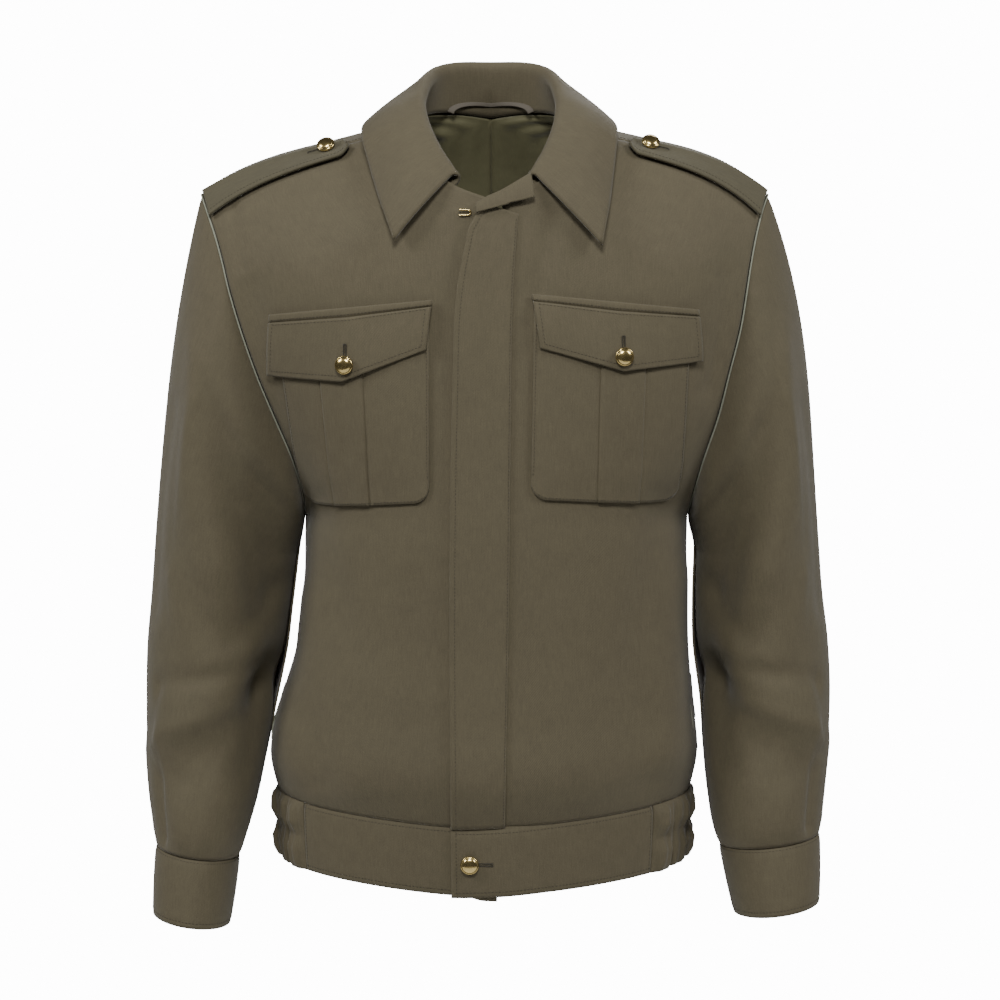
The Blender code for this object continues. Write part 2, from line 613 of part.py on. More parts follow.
def finish_piece(name, points, faces, material, collection):
    mesh = bpy.data.meshes.new(name)
    mesh.from_pydata([tuple(p) for p in points], [], faces)
    work = bmesh.new()
    work.from_mesh(mesh)
    if work.calc_volume(signed=True) < 0:
        bmesh.ops.reverse_faces(work, faces=work.faces)
    work.to_mesh(mesh)
    work.free()
    mesh.shade_smooth()
    mesh.set_sharp_from_angle(angle=math.radians(50))
    mesh.materials.append(material)
    piece = bpy.data.objects.new(name, mesh)
    collection.objects.link(piece)
    return piece


def wall(name, patches, normals, thickness, material, collection, level_z=None):
    """A closed cloth wall inside its patches, its rims parted from the neighbours by half a seam gap."""
    index = {}
    outer = []
    faces = []
    for patch in patches:
        for corners in patch.faces():
            face = []
            for i, j in corners:
                point = patch.points[i, j]
                place = key(point)
                if place not in index:
                    index[place] = len(outer)
                    outer.append(point)
                face.append(index[place])
            faces.append(face)
    outer = np.array(outer)
    directions = np.array([normals[place] for place in index])
    if level_z is not None:
        flat = level_z(outer)
        directions[flat, 2] = 0.0
        directions = unit(directions)
    border = {}
    for face in faces:
        for a, b in zip(face, face[1:] + face[:1]):
            border[(a, b)] = face
    rims = [pair for pair in border if (pair[1], pair[0]) not in border]
    towards = {}
    for a, b in rims:
        corners = outer[border[(a, b)]]
        facing = np.cross(corners[2] - corners[0], corners[3] - corners[1])
        inward = np.cross(facing, outer[b] - outer[a])
        for corner in (a, b):
            level = inward - directions[corner] * (inward @ directions[corner])
            towards.setdefault(corner, []).append(unit(level))
    shift = np.zeros_like(outer)
    for corner, (first, second) in towards.items():
        shift[corner] = (first + second) * SEAM_GAP / 2 / max(1 + first @ second, 0.4)
    outside = outer + shift
    inside = outside - directions * thickness
    count = len(outer)
    all_faces = [list(face) for face in faces]
    all_faces += [[corner + count for corner in face[::-1]] for face in faces]
    all_faces += [[b, a, a + count, b + count] for a, b in rims]
    return finish_piece(name, np.concatenate([outside, inside]), all_faces, material, collection)


def slab(name, outer, inner, material, collection):
    """A closed piece between two grids of points with the same rows and columns."""
    rows, columns = outer.shape[:2]
    count = rows * columns
    points = np.concatenate([outer.reshape(-1, 3), inner.reshape(-1, 3)])
    faces = []
    for i in range(rows - 1):
        for j in range(columns - 1):
            a = i * columns + j
            face = [a, a + 1, a + columns + 1, a + columns]
            faces.append(face)
            faces.append([corner + count for corner in face[::-1]])
    loop = [j for j in range(columns)]
    loop += [i * columns + columns - 1 for i in range(1, rows)]
    loop += [(rows - 1) * columns + j for j in range(columns - 2, -1, -1)]
    loop += [i * columns for i in range(rows - 2, 0, -1)]
    for a, b in zip(loop, loop[1:] + loop[:1]):
        faces.append([b, a, a + count, b + count])
    return finish_piece(name, points, faces, material, collection)


def band_point(table, side, across, down, out):
    """A point of the waistband below the waist seam, moved out."""
    across, down = np.broadcast_arrays(np.asarray(across, float), np.asarray(down, float))
    top = body_point(table, side, across, np.zeros_like(across))
    outward = body_normal(table, side, across, np.full_like(across, 0.001))
    outward[..., 2] = 0.0
    point = top + unit(outward) * np.asarray(out)[..., None]
    narrow = 1 - (1 - BAND_TAPER) * down
    point[..., 0] *= narrow
    point[..., 1] *= narrow
    point[..., 2] -= SEAM_GAP / 2 + (BAND_HEIGHT - SEAM_GAP / 2) * down
    return point


def band_piece(name, table, side, start, end, columns, lap, material, collection):
    across = np.linspace(start, end, columns + 1)[None, :]
    down = np.linspace(0.0, 1.0, BAND_ROWS + 1)[:, None]
    across, down = np.broadcast_arrays(across, down)
    x = body_point(table, side, across, np.zeros_like(across))[..., 0]
    raised = BAND_LAP * (1 - smooth_step((x - LAP_FULL_X) / LAP_FADE)) if lap else np.zeros_like(x)
    outer = band_point(table, side, across, down, raised)
    inner = band_point(table, side, across, down, raised - DOUBLED_CLOTH)
    slab(name, outer, inner, material, collection)


def back_band(material, collection):
    left_end = across_at_x(BACK, 1, ELASTIC_BACK_X, np.array([0.0]))[0] - BAND_JOIN
    right_end = across_at_x(BACK, -1, -ELASTIC_BACK_X, np.array([0.0]))[0] - BAND_JOIN
    shares = np.linspace(-right_end, left_end, BACK_BAND_COLUMNS + 1)
    down = np.linspace(0.0, 1.0, BAND_ROWS + 1)
    skins = []
    for out in (0.0, -DOUBLED_CLOTH):
        columns = [band_point(BACK, 1 if s >= 0 else -1, abs(s), down, np.full_like(down, out)) for s in shares]
        skins.append(np.array(columns).transpose(1, 0, 2))
    slab("waistband_back", skins[0], skins[1], material, collection)


def elastic_piece(name, side, start_x, material, collection):
    """The gathered side of the waistband, from the front round the side seam to the back."""
    front_start = across_at_x(FRONT, side, start_x, np.array([0.0]))[0] + BAND_JOIN
    back_start = across_at_x(BACK, side, side * ELASTIC_BACK_X, np.array([0.0]))[0] + BAND_JOIN
    count = GATHERS * GATHER_STEPS
    way = np.linspace(0.0, 1.0, count + 1)
    down = np.array([row.down for row in GATHER_ROWS])
    depth = np.array([row.fullness for row in GATHER_ROWS])
    skins = ([], [])
    for share in way:
        if share <= ELASTIC_SIDE_SEAM:
            table = FRONT
            across = front_start + (1 - front_start) * share / ELASTIC_SIDE_SEAM
        else:
            table = BACK
            across = 1 + (back_start - 1) * (share - ELASTIC_SIDE_SEAM) / (1 - ELASTIC_SIDE_SEAM)
        wave = GATHER_DEPTH * math.sin(math.pi * GATHERS * share) ** 2
        skins[0].append(band_point(table, side, across, down, wave * depth))
        skins[1].append(band_point(table, side, across, down, np.full_like(down, -DOUBLED_CLOTH)))
    outer = np.array(skins[0]).transpose(1, 0, 2)
    inner = np.array(skins[1]).transpose(1, 0, 2)
    slab(name, outer, inner, material, collection)


def build_waistband(material, collection):
    zero = np.array([0.0])
    left_start = across_at_x(FRONT, 1, CLOSING_END_X, zero)[0]
    left_end = across_at_x(FRONT, 1, ELASTIC_START_LEFT_X, zero)[0] - BAND_JOIN
    right_start = across_at_x(FRONT, -1, UNDERLAP_END_X, zero)[0]
    right_end = across_at_x(FRONT, -1, ELASTIC_START_RIGHT_X, zero)[0] - BAND_JOIN
    band_piece("waistband_left", FRONT, 1, left_start, left_end, 12, True, material, collection)
    band_piece("waistband_right", FRONT, -1, right_start, right_end, 11, False, material, collection)
    back_band(material, collection)
    elastic_piece("waistband_elastic_left", 1, ELASTIC_START_LEFT_X, material, collection)
    elastic_piece("waistband_elastic_right", -1, ELASTIC_START_RIGHT_X, material, collection)


def build_placket(material, collection):
    """The fly strip on the left front, lapped over the right front."""
    rows = front_rows()
    swung = np.linspace(PLACKET_SWING_UP, PLACKET_TOP_UP, PLACKET_SWING_ROWS + 1)
    up = np.concatenate([[PLACKET_FOOT_UP], rows[(rows > 0.0) & (rows < PLACKET_SWING_UP - 0.01)], swung])
    z = body_point(FRONT, 1, 0.0, up)[:, 2]
    edge = read(PLACKET, "edge_x", z)
    seam = read(PLACKET, "seam_x", z)
    share = np.linspace(0.0, 1.0, PLACKET_COLUMNS + 1)
    x = edge[:, None] + (seam - edge)[:, None] * share[None, :]
    up = np.repeat(up[:, None], PLACKET_COLUMNS + 1, axis=1)
    thick = DOUBLED_CLOTH - (DOUBLED_CLOTH - CLOTH) * share[None, :] + np.zeros_like(x)
    across = across_at_x(FRONT, 1, x, up)
    outer = body_offset(FRONT, 1, across, up, LAYER_GAP + thick)
    inner = body_offset(FRONT, 1, across, up, np.full_like(x, LAYER_GAP))
    slab("placket", outer, inner, material, collection)


def pocket_piece(name, pocket, material, collection):
    """A patch pocket with a box pleat standing off it and rounded lower corners."""
    width = abs(pocket.out_top_x - pocket.in_top_x)
    pleat_in = abs(pocket.pleat_in_x - pocket.in_top_x) / width
    pleat_out = abs(pocket.pleat_out_x - pocket.in_top_x) / width
    edge = PLEAT_EDGE / width
    share = np.array([0.0, 0.06, 0.13, 0.28, pleat_in - edge, pleat_in + edge, (pleat_in + pleat_out) / 2,
                      pleat_out - edge, pleat_out + edge, 0.80, 0.90, 0.955, 1.0])
    down = np.array([0.0, 0.2, 0.4, 0.6, 0.8, 0.93, 1.0])
    u, v = np.meshgrid(share, down)
    inner_x = pocket.in_top_x + (pocket.in_low_x - pocket.in_top_x) * v
    outer_x = pocket.out_top_x + (pocket.out_low_x - pocket.out_top_x) * v
    top_z = pocket.in_top_z + (pocket.out_top_z - pocket.in_top_z) * u
    low_z = pocket.in_low_z + (pocket.out_low_z - pocket.in_low_z) * u
    x = inner_x + (outer_x - inner_x) * u
    z = top_z + (low_z - top_z) * v
    from_side = np.minimum(u, 1 - u) * width
    round_up = 1 - np.sqrt(1 - np.clip(1 - from_side / POCKET_CORNER, 0.0, 1.0) ** 2 * 0.96)
    z = z + POCKET_CORNER * round_up * smooth_step((v - POCKET_CORNER_FROM) / (1 - POCKET_CORNER_FROM))
    on_pleat = (u > pleat_in) & (u < pleat_out)
    raised = np.where(on_pleat, PLEAT_STEP, 0.0)
    across, up = find_on_front(pocket.side, x, z)
    outer = body_offset(FRONT, pocket.side, across, up, POCKET_GAP + CLOTH + raised)
    inner = body_offset(FRONT, pocket.side, across, up, np.full_like(x, POCKET_GAP))
    slab(name, outer, inner, material, collection)


def flap_place(flap, u, v):
    """The front-view place on a flap: u from its inner to its outer end, v from top to lower edge."""
    tip = abs(flap.tip_x - flap.in_low_x) / abs(flap.out_low_x - flap.in_low_x)
    low_x = np.interp(u, [0.0, tip, 1.0], [flap.in_low_x, flap.tip_x, flap.out_low_x])
    low_z = np.interp(u, [0.0, tip, 1.0], [flap.in_low_z, flap.tip_z, flap.out_low_z])
    top_x = flap.in_top_x + (flap.out_top_x - flap.in_top_x) * u
    top_z = flap.in_top_z + (flap.out_top_z - flap.in_top_z) * u
    lift = TIP_LIFT * np.clip(v, 0.0, 1.0) ** 2 * np.exp(-((u - tip) / 0.3) ** 2)
    return top_x + (low_x - top_x) * v, top_z + (low_z - top_z) * v, lift, tip


def flap_piece(name, flap, material, collection):
    """A pocket flap under a raised stitched welt, its pointed tip standing a little proud."""
    tip = flap_place(flap, 0.0, 0.0)[3]
    share = np.concatenate([np.linspace(0.0, tip, 6), np.linspace(tip, 1.0, 6)[1:]])
    down = np.array([0.0, WELT_SHARE, WELT_SHARE + 0.03, 0.45, 0.75, 1.0])
    outs = np.array([WELT_OUT, WELT_OUT, FLAP_OUT, FLAP_OUT, FLAP_OUT, FLAP_OUT])
    ins = np.array([LAYER_GAP, LAYER_GAP, FLAP_OUT - CLOTH, FLAP_OUT - CLOTH, FLAP_OUT - CLOTH, FLAP_OUT - CLOTH])
    u, v = np.meshgrid(share, down)
    x, z, lift, _ = flap_place(flap, u, v)
    across, up = find_on_front(flap.side, x, z)
    outer = body_offset(FRONT, flap.side, across, up, outs[:, None] + lift)
    inner = body_offset(FRONT, flap.side, across, up, ins[:, None] + lift)
    slab(name, outer, inner, material, collection)


def shoulder_point(side, across, over):
    """A point across the shoulder seam: over is the distance from it, below 0 on the front."""
    points = np.zeros(over.shape + (3,))
    for i, place in enumerate(across):
        front_up = np.linspace(0.80, 1.0, 50)
        back_up = np.linspace(1.0, 0.80, 50)
        front_line = body_point(FRONT, side, place, front_up)
        back_line = body_point(BACK, side, place, back_up)
        line = np.concatenate([front_line, back_line[1:]])
        lengths = np.concatenate([[0.0], np.cumsum(np.linalg.norm(np.diff(line, axis=0), axis=1))])
        lengths = lengths - lengths[len(front_up) - 1]
        for axis in range(3):
            points[i, :, axis] = np.interp(over[i], lengths, line[:, axis])
    return points


def grid_normals(points, up_axis=2):
    """Unit normals of a grid of points, turned to the positive side of an axis."""
    along = np.gradient(points, axis=0)
    over = np.gradient(points, axis=1)
    normals = unit(np.cross(along, over))
    return normals * np.where(normals[..., up_axis:up_axis + 1] < 0, -1.0, 1.0)


def strap_grids(side):
    q = np.concatenate([[0.0, 0.03, 0.07], np.linspace(0.13, 1.0, STRAP_ROWS)])
    across = STRAP_INNER + (STRAP_OUTER - STRAP_INNER) * q
    half = STRAP_END_HALF_WIDTH + (STRAP_HALF_WIDTH - STRAP_END_HALF_WIDTH) * q
    half = half * np.sqrt(1 - np.clip(1 - q / STRAP_ROUND, 0.0, 1.0) ** 2 * STRAP_BLUNT)
    share = np.linspace(-1.0, 1.0, STRAP_COLUMNS + 1)
    over = half[:, None] * share[None, :]
    base = shoulder_point(side, across, over)
    normals = grid_normals(base)
    stand_off = STRAP_OFF + STRAP_EDGE_LIFT * np.clip(-share, 0.0, 1.0)[None, :, None] ** 2
    return base + normals * (stand_off + DOUBLED_CLOTH), base + normals * stand_off


def make_button(name, place, outward, material, collection):
    """A plain domed shank button, turned about its axis."""
    top = SHANK_HEIGHT + BUTTON_HEIGHT
    profile = [
        (0.0, top),
        (BUTTON_RADIUS * 0.45, top - 0.0004),
        (BUTTON_RADIUS * 0.80, top - 0.0016),
        (BUTTON_RADIUS * 0.97, top - 0.0030),
        (BUTTON_RADIUS, top - 0.0037),
        (BUTTON_RADIUS * 0.92, SHANK_HEIGHT),
        (SHANK_RADIUS, SHANK_HEIGHT),
        (SHANK_RADIUS, 0.0),
        (0.0, 0.0),
    ]
    mesh = bpy.data.meshes.new(name)
    mesh.from_pydata([(r, 0.0, h) for r, h in profile], [(i, i + 1) for i in range(len(profile) - 1)], [])
    mesh.materials.append(material)
    button = bpy.data.objects.new(name, mesh)
    button.location = Vector(place)
    button.rotation_mode = "QUATERNION"
    button.rotation_quaternion = Vector(outward).to_track_quat("Z", "Y")
    collection.objects.link(button)
    spin = button.modifiers.new("spin", "SCREW")
    spin.axis = "Z"
    spin.angle = math.tau
    spin.steps = 16
    spin.render_steps = 16
    spin.use_merge_vertices = True
    spin.merge_threshold = 0.0001
    spin.use_smooth_shade = True
    return button


def build_buttons(material, collection):
    for flap in FLAPS:
        label = "left" if flap.side > 0 else "right"
        lift = TIP_LIFT * BUTTON_SHARE ** 2
        out = np.array(FLAP_OUT + lift + LAYER_GAP)
        across, up = find_on_front(flap.side, flap.button_x, flap.button_z)
        place = body_offset(FRONT, flap.side, across, up, out)
        outward = body_normal(FRONT, flap.side, across, up)
        make_button("pocket_button_" + label, place, outward, material, collection)
    for side, label in ((1, "left"), (-1, "right")):
        across = np.array([STRAP_BUTTON - 0.01, STRAP_BUTTON, STRAP_BUTTON + 0.01])
        over = np.tile(np.array([-0.002, 0.0, 0.002]), (3, 1))
        base = shoulder_point(side, across, over)
        outward = grid_normals(base)[1, 1]
        place = base[1, 1] + outward * (STRAP_OFF + DOUBLED_CLOTH + LAYER_GAP)
        make_button("epaulette_button_" + label, place, outward, material, collection)
    across = across_at_x(FRONT, 1, WAIST_BUTTON_X, np.array([0.0]))[0]
    place = band_point(FRONT, 1, across, 0.5, np.array(BAND_LAP + LAYER_GAP))
    outward = body_normal(FRONT, 1, np.array(across), np.array(0.001))
    outward[2] = 0.0
    make_button("waistband_button", place, unit(outward), material, collection)


def build_loop(material, collection):
    """The hanger loop, a narrow band arched against the inside of the collar stand."""
    way = np.linspace(0.0, 1.0, LOOP_STEPS + 1)
    bend = math.pi * (1 - way)
    x = LOOP_HALF_SPAN * np.cos(bend)
    rise = LOOP_HEIGHT * np.sin(bend) ** LOOP_ROUNDNESS
    neck_up = np.linspace(BACK_NECK, 0.96, 40)
    neck_line = body_point(BACK, 1, 0.0, neck_up)
    lean = neck_line[0, 0]
    y = np.interp(np.abs(x), neck_line[:, 0] - lean, neck_line[:, 1])
    z = np.interp(np.abs(x), neck_line[:, 0] - lean, neck_line[:, 2]) + LOOP_FOOT
    inward = LOOP_INWARD + DOUBLED_CLOTH + LOOP_SLACK * np.sin(bend) + LOOP_END_INWARD * np.cos(bend) ** 2
    skins = []
    for deep in (0.0, CLOTH):
        rows = []
        for width in (-0.5, 0.5):
            grow = 1 + width * LOOP_WIDTH / LOOP_HALF_SPAN
            rows.append(np.stack([lean + x * grow, y - inward - deep, z + rise * grow + width * LOOP_TILT], axis=-1))
        skins.append(np.array(rows))
    slab("hanger_loop", skins[0], skins[1], material, collection)


def build_hook(material, collection):
    """The brass wire hook at the top of the closing."""
    across, up = find_on_front(-1, HOOK_X, HOOK_Z)
    base = body_offset(FRONT, -1, across, up, np.array(HOOK_WIRE + LAYER_GAP))
    data = bpy.data.curves.new("neck_hook", "CURVE")
    data.dimensions = "3D"
    data.bevel_depth = HOOK_WIRE
    data.bevel_resolution = 2
    data.use_fill_caps = True
    spline = data.splines.new("POLY")
    spline.points.add(len(HOOK_OUTLINE) - 1)
    for point, bend in zip(spline.points, HOOK_OUTLINE):
        forward = HOOK_OFF + HOOK_SPRING * abs(bend.x)
        point.co = (base[0] + bend.x, base[1] - forward, base[2] + bend.z, 1.0)
    data.materials.append(material)
    hook = bpy.data.objects.new("neck_hook", data)
    collection.objects.link(hook)


def build_lining(material, collection):
    """The lining that shows inside the back of the neck, behind the whole back."""
    columns = np.linspace(0.0, 1.0, PANEL_COLUMNS + 1)
    columns = np.append(columns[columns < LINING_REACH - 0.02], LINING_REACH)
    shares = np.concatenate([-columns[:0:-1], columns])
    rows = back_rows()
    between = rows[(rows > LINING_BOTTOM + 0.01) & (rows < LINING_TOP - 0.01)]
    up = np.concatenate([[LINING_BOTTOM], between, [LINING_TOP]])
    skins = []
    for deep in (CLOTH + LINING_GAP, CLOTH + LINING_GAP + LINING_CLOTH):
        columns = [body_offset(BACK, 1 if s >= 0 else -1, abs(s), up, np.full_like(up, -deep)) for s in shares]
        skins.append(np.array(columns).transpose(1, 0, 2))
    slab("lining_back", skins[0], skins[1], material, collection)


def main():
    clear_scene()
    collection = bpy.data.collections.new("field_jacket")
    bpy.context.scene.collection.children.link(collection)
    cloth = make_material("olive_gabardine", OLIVE, 0.85)
    trim = make_material("olive_trim", OLIVE_DARK, 0.85)
    satin = make_material("green_satin", SATIN, 0.40)
    brass = make_material("brass", BRASS, 0.25, 1.0)

    fronts = {1: Patch(front_grid(1, LEFT_FRONT_EDGE_X)), -1: Patch(front_grid(-1, RIGHT_FRONT_EDGE_X), True)}
    backs = {1: Patch(back_grid(1), True), -1: Patch(back_grid(-1))}
    sleeves = {side: Patch(sleeve_grid(side), side > 0, True) for side in (1, -1)}
    cuffs = {side: Patch(cuff_grid(side), side > 0, True) for side in (1, -1)}
    collar = Patch(collar_grid(), True)
    normals = shared_normals([*fronts.values(), *backs.values(), *sleeves.values(), *cuffs.values(), collar])

    def at_waist(points):
        return points[:, 2] < WAIST_SEAM_ABOVE

    for side, label in ((1, "left"), (-1, "right")):
        wall("front_" + label, [fronts[side]], normals, CLOTH, cloth, collection, at_waist)
        wall("sleeve_" + label, [sleeves[side]], normals, CLOTH, cloth, collection)
        wall("cuff_" + label, [cuffs[side]], normals, DOUBLED_CLOTH, cloth, collection)
    wall("back", [backs[1], backs[-1]], normals, CLOTH, cloth, collection, at_waist)
    wall("collar", [collar], normals, DOUBLED_CLOTH, cloth, collection)
    build_waistband(cloth, collection)
    build_placket(cloth, collection)
    for pocket, flap in zip(POCKETS, FLAPS):
        label = "left" if pocket.side > 0 else "right"
        pocket_piece("pocket_" + label, pocket, cloth, collection)
        flap_piece("flap_" + label, flap, cloth, collection)
    for side, label in ((1, "left"), (-1, "right")):
        outer, inner = strap_grids(side)
        slab("epaulette_" + label, outer, inner, trim, collection)
    build_buttons(brass, collection)
    build_loop(trim, collection)
    build_hook(brass, collection)
    build_lining(satin, collection)


main()
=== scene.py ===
"""Looks of the field jacket: fine cloth shells, sewing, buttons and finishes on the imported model's frame.

Laid out as an add-on and run as a script. Metres, +Z up, the front facing -Y, the wearer's left at +X.
"""

import math
from collections import namedtuple

import bmesh
import bpy
import numpy as np
from bpy.props import FloatProperty, FloatVectorProperty, IntProperty, PointerProperty
from mathutils import Matrix, Vector


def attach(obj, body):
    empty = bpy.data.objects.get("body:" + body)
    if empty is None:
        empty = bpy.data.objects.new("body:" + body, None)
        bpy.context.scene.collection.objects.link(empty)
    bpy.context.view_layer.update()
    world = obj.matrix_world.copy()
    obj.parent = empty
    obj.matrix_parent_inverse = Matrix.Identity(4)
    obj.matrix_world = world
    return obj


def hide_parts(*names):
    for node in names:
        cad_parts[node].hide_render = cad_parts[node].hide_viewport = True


bl_info = {
    "name": "Field jacket",
    "version": (1, 0, 0),
    "blender": (4, 5, 0),
    "location": "View3D > Sidebar > Jacket",
    "description": "Dresses the packed field jacket with cloth, stitching, buttons and a stage",
    "category": "Object",
}

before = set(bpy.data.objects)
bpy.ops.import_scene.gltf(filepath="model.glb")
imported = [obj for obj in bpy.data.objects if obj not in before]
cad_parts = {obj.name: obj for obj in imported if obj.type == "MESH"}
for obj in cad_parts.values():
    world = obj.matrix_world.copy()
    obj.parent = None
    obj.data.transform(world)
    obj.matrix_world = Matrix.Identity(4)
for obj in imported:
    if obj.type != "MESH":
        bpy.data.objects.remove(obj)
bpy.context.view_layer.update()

# Seams, layers and places along the body panels, as the solids have them
SEAM_GAP = 0.0004
LAYER_GAP = 0.0004
UNDERARM = 0.47
FRONT_NECK = 0.835
COLLAR_END = 0.88
BACK_NECK = 0.92
LEFT_FRONT_EDGE_X = 0.0140
RIGHT_FRONT_EDGE_X = 0.0080

# Waistband
BAND_HEIGHT = 0.058
BAND_TAPER = 0.985
BAND_JOIN = 0.0012
LAP_FULL_X = 0.0120
LAP_FADE = 0.0450
CLOSING_END_X = -0.0290
UNDERLAP_END_X = 0.0100
ELASTIC_START_LEFT_X = 0.1430
ELASTIC_START_RIGHT_X = -0.1560
ELASTIC_BACK_X = 0.1340
ELASTIC_SIDE_SEAM = 0.45
GATHERS = 7
GATHER_DEPTH = 0.0056
WAIST_SAG = 0.0058
SAG_HALF_WIDTH = 0.11
SAG_UP = 0.30
BAND_LAP_GAP = 0.0006
Pinch = namedtuple("Pinch", "down fullness")

# How full the gathers stand at each height of the elastic, with a pinched row at half height
GATHER_ROWS = (
    Pinch(0.00, 0.00),
    Pinch(0.10, 0.80),
    Pinch(0.30, 1.00),
    Pinch(0.50, 0.25),
    Pinch(0.70, 1.00),
    Pinch(0.90, 0.90),
    Pinch(1.00, 0.50),
)

# The left sleeve ends a little higher than the right one
LEFT_SLEEVE_LIFT = 0.010

# Buttons
BUTTON_RADIUS = 0.0078
BUTTON_HEIGHT = 0.0044
SHANK_RADIUS = 0.0020
SHANK_HEIGHT = 0.0012
WAIST_BUTTON_X = -0.0132
BUTTON_SHARE = 0.82

# How much flatter the right shoulder lies than the left one
RIGHT_SHOULDER_DROP = 0.009

# Sleeve head and the scale of its folds
HEAD_PULL = 0.36
HEAD_SPREAD_LEFT = 0.20
HEAD_SPREAD_RIGHT = 0.13
SLEEVE_GIRTH = 0.44
SLEEVE_STRETCH = 0.28

Section = namedtuple("Section", "at in_x in_y in_z out_x out_y out_z in_turn out_turn "
                                "in_pull out_pull out_rise in_lean out_lean")

# Half a front: each row runs from the centre or neck edge to the side seam or armhole
FRONT = (
    Section(0.000, 0.000, -0.114, -0.594, 0.1820, 0.006, -0.583, 0, 90, 0.50, 0.34, 0.000, -0.002, -0.002),
    Section(0.060, 0.000, -0.124, -0.562, 0.1875, 0.004, -0.555, 0, 90, 0.50, 0.35, 0.000, -0.002, -0.002),
    Section(0.170, 0.000, -0.122, -0.505, 0.1800, 0.004, -0.503, 0, 90, 0.50, 0.35, 0.000, 0.002, 0.001),
    Section(0.280, 0.000, -0.120, -0.448, 0.1700, 0.004, -0.450, 0, 90, 0.50, 0.35, 0.000, 0.006, 0.006),
    Section(0.380, 0.000, -0.120, -0.394, 0.1670, 0.005, -0.398, 0, 90, 0.50, 0.35, 0.000, 0.008, 0.008),
    Section(0.470, 0.000, -0.120, -0.340, 0.1675, 0.006, -0.345, 0, 88, 0.50, 0.34, 0.000, 0.009, 0.009),
    Section(0.530, 0.000, -0.119, -0.300, 0.1690, -0.028, -0.322, 0, 74, 0.47, 0.33, 0.000, 0.010, 0.0105),
    Section(0.590, 0.000, -0.118, -0.258, 0.1755, -0.046, -0.294, 0, 62, 0.45, 0.33, 0.000, 0.010, 0.0105),
    Section(0.660, 0.000, -0.116, -0.208, 0.1885, -0.056, -0.257, 0, 52, 0.42, 0.33, 0.000, 0.009, 0.0090),
    Section(0.730, 0.000, -0.112, -0.155, 0.2003, -0.060, -0.220, 0, 45, 0.40, 0.33, 0.000, 0.009, 0.0060),
    Section(0.790, 0.000, -0.107, -0.110, 0.2120, -0.059, -0.180, 0, 40, 0.38, 0.33, 0.002, 0.008, 0.0040),
    Section(0.835, 0.000, -0.101, -0.076, 0.2190, -0.055, -0.150, 0, 36, 0.37, 0.33, 0.005, 0.0075, 0.0020),
    Section(0.880, 0.034, -0.092, -0.062, 0.2240, -0.048, -0.127, 5, 30, 0.36, 0.33, 0.010, 0.0070, 0.0010),
    Section(0.920, 0.056, -0.064, -0.042, 0.2300, -0.039, -0.104, 5, 20, 0.34, 0.33, 0.016, 0.0060, 0.0000),
    Section(0.960, 0.068, -0.036, -0.022, 0.2375, -0.026, -0.082, 2, 8, 0.33, 0.33, 0.021, 0.0050, -0.001),
    Section(1.000, 0.074, -0.012, -0.010, 0.2435, -0.012, -0.068, 0, 0, 0.33, 0.33, 0.025, 0.0040, -0.001),
)

# Half the back, row for row like the front
BACK = (
    Section(0.000, 0.000, 0.104, -0.580, 0.1820, 0.006, -0.583, 0, -90, 0.50, 0.34, 0.000, -0.002, -0.002),
    Section(0.060, 0.000, 0.113, -0.550, 0.1875, 0.004, -0.555, 0, -90, 0.50, 0.35, 0.000, -0.002, -0.002),
    Section(0.170, 0.000, 0.108, -0.498, 0.1800, 0.004, -0.503, 0, -90, 0.50, 0.35, 0.000, 0.001, 0.001),
    Section(0.280, 0.000, 0.104, -0.442, 0.1700, 0.004, -0.450, 0, -90, 0.50, 0.35, 0.000, 0.004, 0.006),
    Section(0.380, 0.000, 0.107, -0.386, 0.1670, 0.005, -0.398, 0, -90, 0.50, 0.35, 0.000, 0.005, 0.008),
    Section(0.470, 0.000, 0.114, -0.330, 0.1675, 0.006, -0.345, 0, -88, 0.50, 0.34, 0.000, 0.005, 0.009),
    Section(0.530, 0.000, 0.120, -0.290, 0.1690, 0.038, -0.322, 0, -74, 0.47, 0.33, 0.000, 0.005, 0.0105),
    Section(0.590, 0.000, 0.124, -0.250, 0.1740, 0.054, -0.294, 0, -62, 0.45, 0.33, 0.000, 0.005, 0.0105),
    Section(0.660, 0.000, 0.126, -0.200, 0.1850, 0.066, -0.257, 0, -52, 0.42, 0.33, 0.000, 0.004, 0.0090),
    Section(0.730, 0.000, 0.124, -0.150, 0.1950, 0.071, -0.220, 0, -45, 0.40, 0.33, 0.000, 0.004, 0.0060),
    Section(0.790, 0.000, 0.118, -0.105, 0.2050, 0.070, -0.180, 0, -40, 0.38, 0.33, 0.000, 0.004, 0.0040),
    Section(0.835, 0.000, 0.110, -0.066, 0.2120, 0.065, -0.150, 0, -36, 0.38, 0.33, 0.004, 0.004, 0.0020),
    Section(0.880, 0.000, 0.098, -0.030, 0.2200, 0.056, -0.124, 0, -30, 0.38, 0.33, 0.008, 0.004, 0.0010),
    Section(0.920, 0.000, 0.082, 0.004, 0.2280, 0.042, -0.093, 0, -20, 0.36, 0.33, 0.014, 0.004, 0.0000),
    Section(0.950, 0.040, 0.068, 0.008, 0.2345, 0.026, -0.075, -5, -12, 0.35, 0.33, 0.021, 0.004, 0.0000),
    Section(0.975, 0.062, 0.036, 0.004, 0.2400, 0.008, -0.067, -3, -4, 0.34, 0.33, 0.029, 0.004, -0.001),
    Section(1.000, 0.074, -0.012, -0.010, 0.2435, -0.012, -0.068, 0, 0, 0.33, 0.33, 0.025, 0.0040, -0.001),
)

Ring = namedtuple("Ring", "at z y depth slope right_out right_in left_out left_in")

